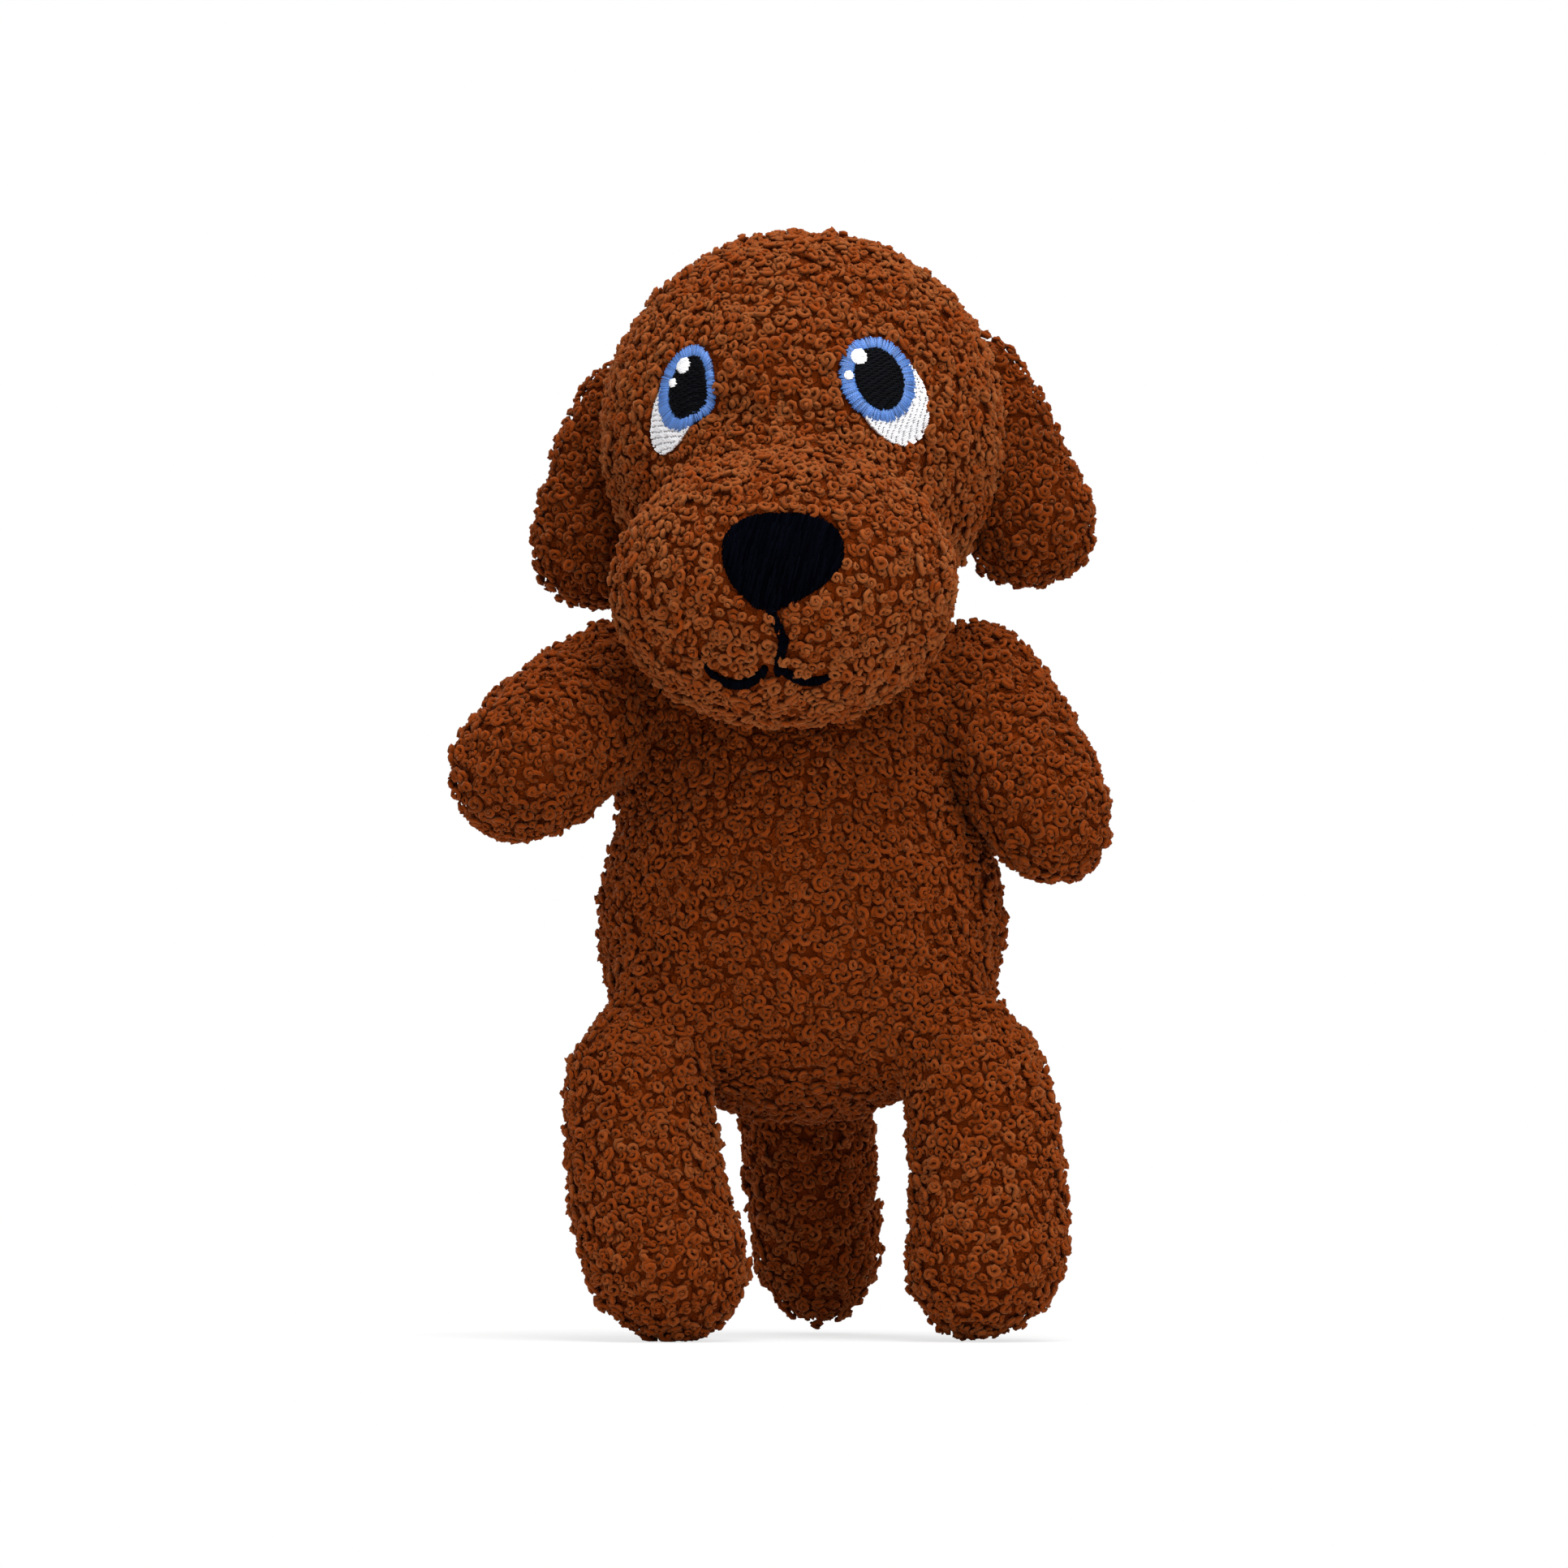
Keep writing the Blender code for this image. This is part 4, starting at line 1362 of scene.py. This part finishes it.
def floor_material():
    """A white that the camera sees as nearly plain, but that still takes a soft shadow."""
    material, tree, shader = principled("white floor")
    feed(tree, shader, {"Base Color": (0.9, 0.9, 0.9, 1.0), "Roughness": 1.0, "Specular IOR Level": 0.0})
    path = add_node(tree, "ShaderNodeLightPath")
    glow = add_node(tree, "ShaderNodeEmission", {"Color": WHITE, "Strength": 1.0})
    seen = add_math(tree, "MAXIMUM", out_of(path, "Is Camera Ray"), out_of(path, "Is Glossy Ray"))
    spot = out_of(add_node(tree, "ShaderNodeTexCoord"), "Object")
    away = add_node(tree, "ShaderNodeVectorMath", {0: spot}, operation="LENGTH")
    fade = add_range(tree, away, FADE, (PLAIN_SHARE, 1.0), interpolation_type="SMOOTHSTEP")
    part = add_math(tree, "MULTIPLY", seen, fade)
    mix = add_node(tree, "ShaderNodeMixShader", {"Fac": part, 1: shader, 2: glow})
    feed(tree, tree.nodes["Material Output"], {"Surface": mix})
    return material


def area_light(name, place, aim, size, power):
    light = bpy.data.lights.new(name, "AREA")
    light.shape = "DISK"
    light.size = size
    light.energy = power
    lamp = bpy.data.objects.new(name, light)
    lamp.location = place
    lamp.rotation_euler = (aim - place).to_track_quat("-Z", "Y").to_euler()
    bpy.context.scene.collection.objects.link(lamp)


class OBJECT_OT_plush_stage(bpy.types.Operator):
    """Sets up the white floor, the soft light and the camera"""

    bl_idname = "object.plush_stage"
    bl_label = "Stage"

    def execute(self, context):
        stage = context.scene.plush_stage
        scene = context.scene
        scene.view_settings.view_transform = "Standard"

        bm = bmesh.new()
        bmesh.ops.create_grid(bm, x_segments=1, y_segments=1, size=FLOOR_HALF)
        floor = mesh_object("floor", mesh_from("floor", bm), floor_material())

        world = bpy.data.worlds.new("studio")
        world.use_nodes = True
        tree = world.node_tree
        path = add_node(tree, "ShaderNodeLightPath")
        strength = add_range(tree, out_of(path, "Is Camera Ray"), now=(stage.sky, 1.0))
        feed(tree, tree.nodes["Background"], {"Color": WHITE, "Strength": strength})
        scene.world = world

        aim = Vector(stage.aim)
        for name, (place, width) in LIGHTS.items():
            area_light(f"{name} light", aim + Vector(place), aim, width, getattr(stage, name))

        camera = bpy.data.cameras.new("camera")
        camera.angle = stage.view
        camera.clip_start = CLIP_START
        eye = bpy.data.objects.new("camera", camera)
        away = Vector((0.0, -math.cos(stage.elevation), math.sin(stage.elevation)))
        eye.location = aim + away * stage.distance
        eye.rotation_euler = (-away).to_track_quat("-Z", "Y").to_euler()
        scene.collection.objects.link(eye)
        scene.camera = eye
        return {"FINISHED"}


# Bags and their curls


class OBJECT_OT_plush_head(bpy.types.Operator):
    """Makes the head and muzzle as one bag, with the crease between them"""

    bl_idname = "object.plush_head"
    bl_label = "Head and muzzle"

    def execute(self, context):
        panels = ("head_front_panel", "head_back_panel", "muzzle_front_panel", "muzzle_chin_panel")
        cores = ("head_stuffing", "muzzle_stuffing")
        bm = node_bmesh(cores)
        for ear in EARS:
            add_root(bm, ear)
        neighbours = ["neck_stuffing"] + [f"{ear}_stuffing" for ear in EARS]
        skin = stuffed_skin("head", bm, panels, neighbours, context.scene.plush_stuffing.cheek_fillet)
        cover_bag(skin, "head", panels + cores)
        return {"FINISHED"}


class OBJECT_OT_plush_torso(bpy.types.Operator):
    """Makes the torso's bag"""

    bl_idname = "object.plush_torso"
    bl_label = "Torso"

    def execute(self, context):
        panels = ("torso_front_panel", "torso_back_panel")
        bm = node_bmesh(["torso_stuffing"])
        for limb in LIMBS:
            add_root(bm, limb)
        neighbours = [f"{limb}_stuffing" for limb in LIMBS] + ["neck_stuffing"]
        skin = stuffed_skin("torso", bm, panels, neighbours, context.scene.plush_stuffing.hip_fillet)
        halve_panels(skin, panels)
        cover_bag(skin, "torso", panels + ("torso_stuffing",))
        return {"FINISHED"}


class OBJECT_OT_plush_limbs(bpy.types.Operator):
    """Makes the arms and legs"""

    bl_idname = "object.plush_limbs"
    bl_label = "Arms and legs"

    def execute(self, context):
        for limb in ARMS_AND_LEGS:
            make_limb(limb, "torso")
        return {"FINISHED"}


class OBJECT_OT_plush_tail(bpy.types.Operator):
    """Makes the tail"""

    bl_idname = "object.plush_tail"
    bl_label = "Tail"

    def execute(self, context):
        make_limb("tail", "torso")
        return {"FINISHED"}


class OBJECT_OT_plush_ears(bpy.types.Operator):
    """Makes the ears"""

    bl_idname = "object.plush_ears"
    bl_label = "Ears"

    def execute(self, context):
        for ear in EARS:
            make_limb(ear, "head")
        return {"FINISHED"}


class OBJECT_OT_plush_neck(bpy.types.Operator):
    """Covers the neck between head and torso"""

    bl_idname = "object.plush_neck"
    bl_label = "Neck"

    def execute(self, context):
        mesh = mesh_from("neck_cover", node_bmesh(["neck_stuffing"]))
        cover = mesh_object("neck_cover", mesh, fleece_ground())
        mark_panels(cover, ["neck_stuffing"])
        bare_inside(cover, joint_place("neck"))
        cover_bag(cover, "neck", ["neck_stuffing"])
        return {"FINISHED"}


class OBJECT_OT_plush_curls(bpy.types.Operator):
    """Grows the curls on every bag, clear of the embroidery"""

    bl_idname = "object.plush_curls"
    bl_label = "Curls"

    def execute(self, context):
        bare_under(bpy.data.objects["head_cover"], EARS)
        bare_under(bpy.data.objects["torso_cover"], LIMBS)
        grow_pile("head", ("head_front", "head_back", "muzzle_front", "muzzle_chin"))
        grow_pile("torso", ("chest_front", "chest_back", "belly_front", "belly_back"))
        grow_pile("neck", ("neck",))
        for bag in (*LIMBS, *EARS):
            grow_pile(bag, (f"{bag}_front", f"{bag}_back"))
        return {"FINISHED"}


class VIEW3D_PT_plush_dog(bpy.types.Panel):
    """Lists the steps that dress the dog"""

    bl_label = "Plush Dog"
    bl_idname = "VIEW3D_PT_plush_dog"
    bl_space_type = "VIEW_3D"
    bl_region_type = "UI"
    bl_category = "Plush Dog"

    def draw(self, context):
        for step in STEPS:
            self.layout.operator(step.bl_idname)


STEPS = (
    OBJECT_OT_plush_stage,
    OBJECT_OT_plush_head,
    OBJECT_OT_plush_torso,
    OBJECT_OT_plush_limbs,
    OBJECT_OT_plush_tail,
    OBJECT_OT_plush_ears,
    OBJECT_OT_plush_neck,
    OBJECT_OT_plush_eyes,
    OBJECT_OT_plush_nose,
    OBJECT_OT_plush_mouth,
    OBJECT_OT_plush_curls,
)
CLASSES = (*SETTINGS.values(), *STEPS, VIEW3D_PT_plush_dog)


def register():
    for cls in CLASSES:
        bpy.utils.register_class(cls)
    for name, group in SETTINGS.items():
        setattr(bpy.types.Scene, name, PointerProperty(type=group))


def unregister():
    for name in SETTINGS:
        delattr(bpy.types.Scene, name)
    for cls in reversed(CLASSES):
        bpy.utils.unregister_class(cls)


def main():
    register()
    bpy.ops.object.plush_stage()
    bpy.ops.object.plush_head()
    bpy.ops.object.plush_torso()
    bpy.ops.object.plush_limbs()
    bpy.ops.object.plush_tail()
    bpy.ops.object.plush_ears()
    bpy.ops.object.plush_neck()
    bpy.ops.object.plush_eyes()
    bpy.ops.object.plush_nose()
    bpy.ops.object.plush_mouth()
    bpy.ops.object.plush_curls()


if __name__ == "__main__":
    main()
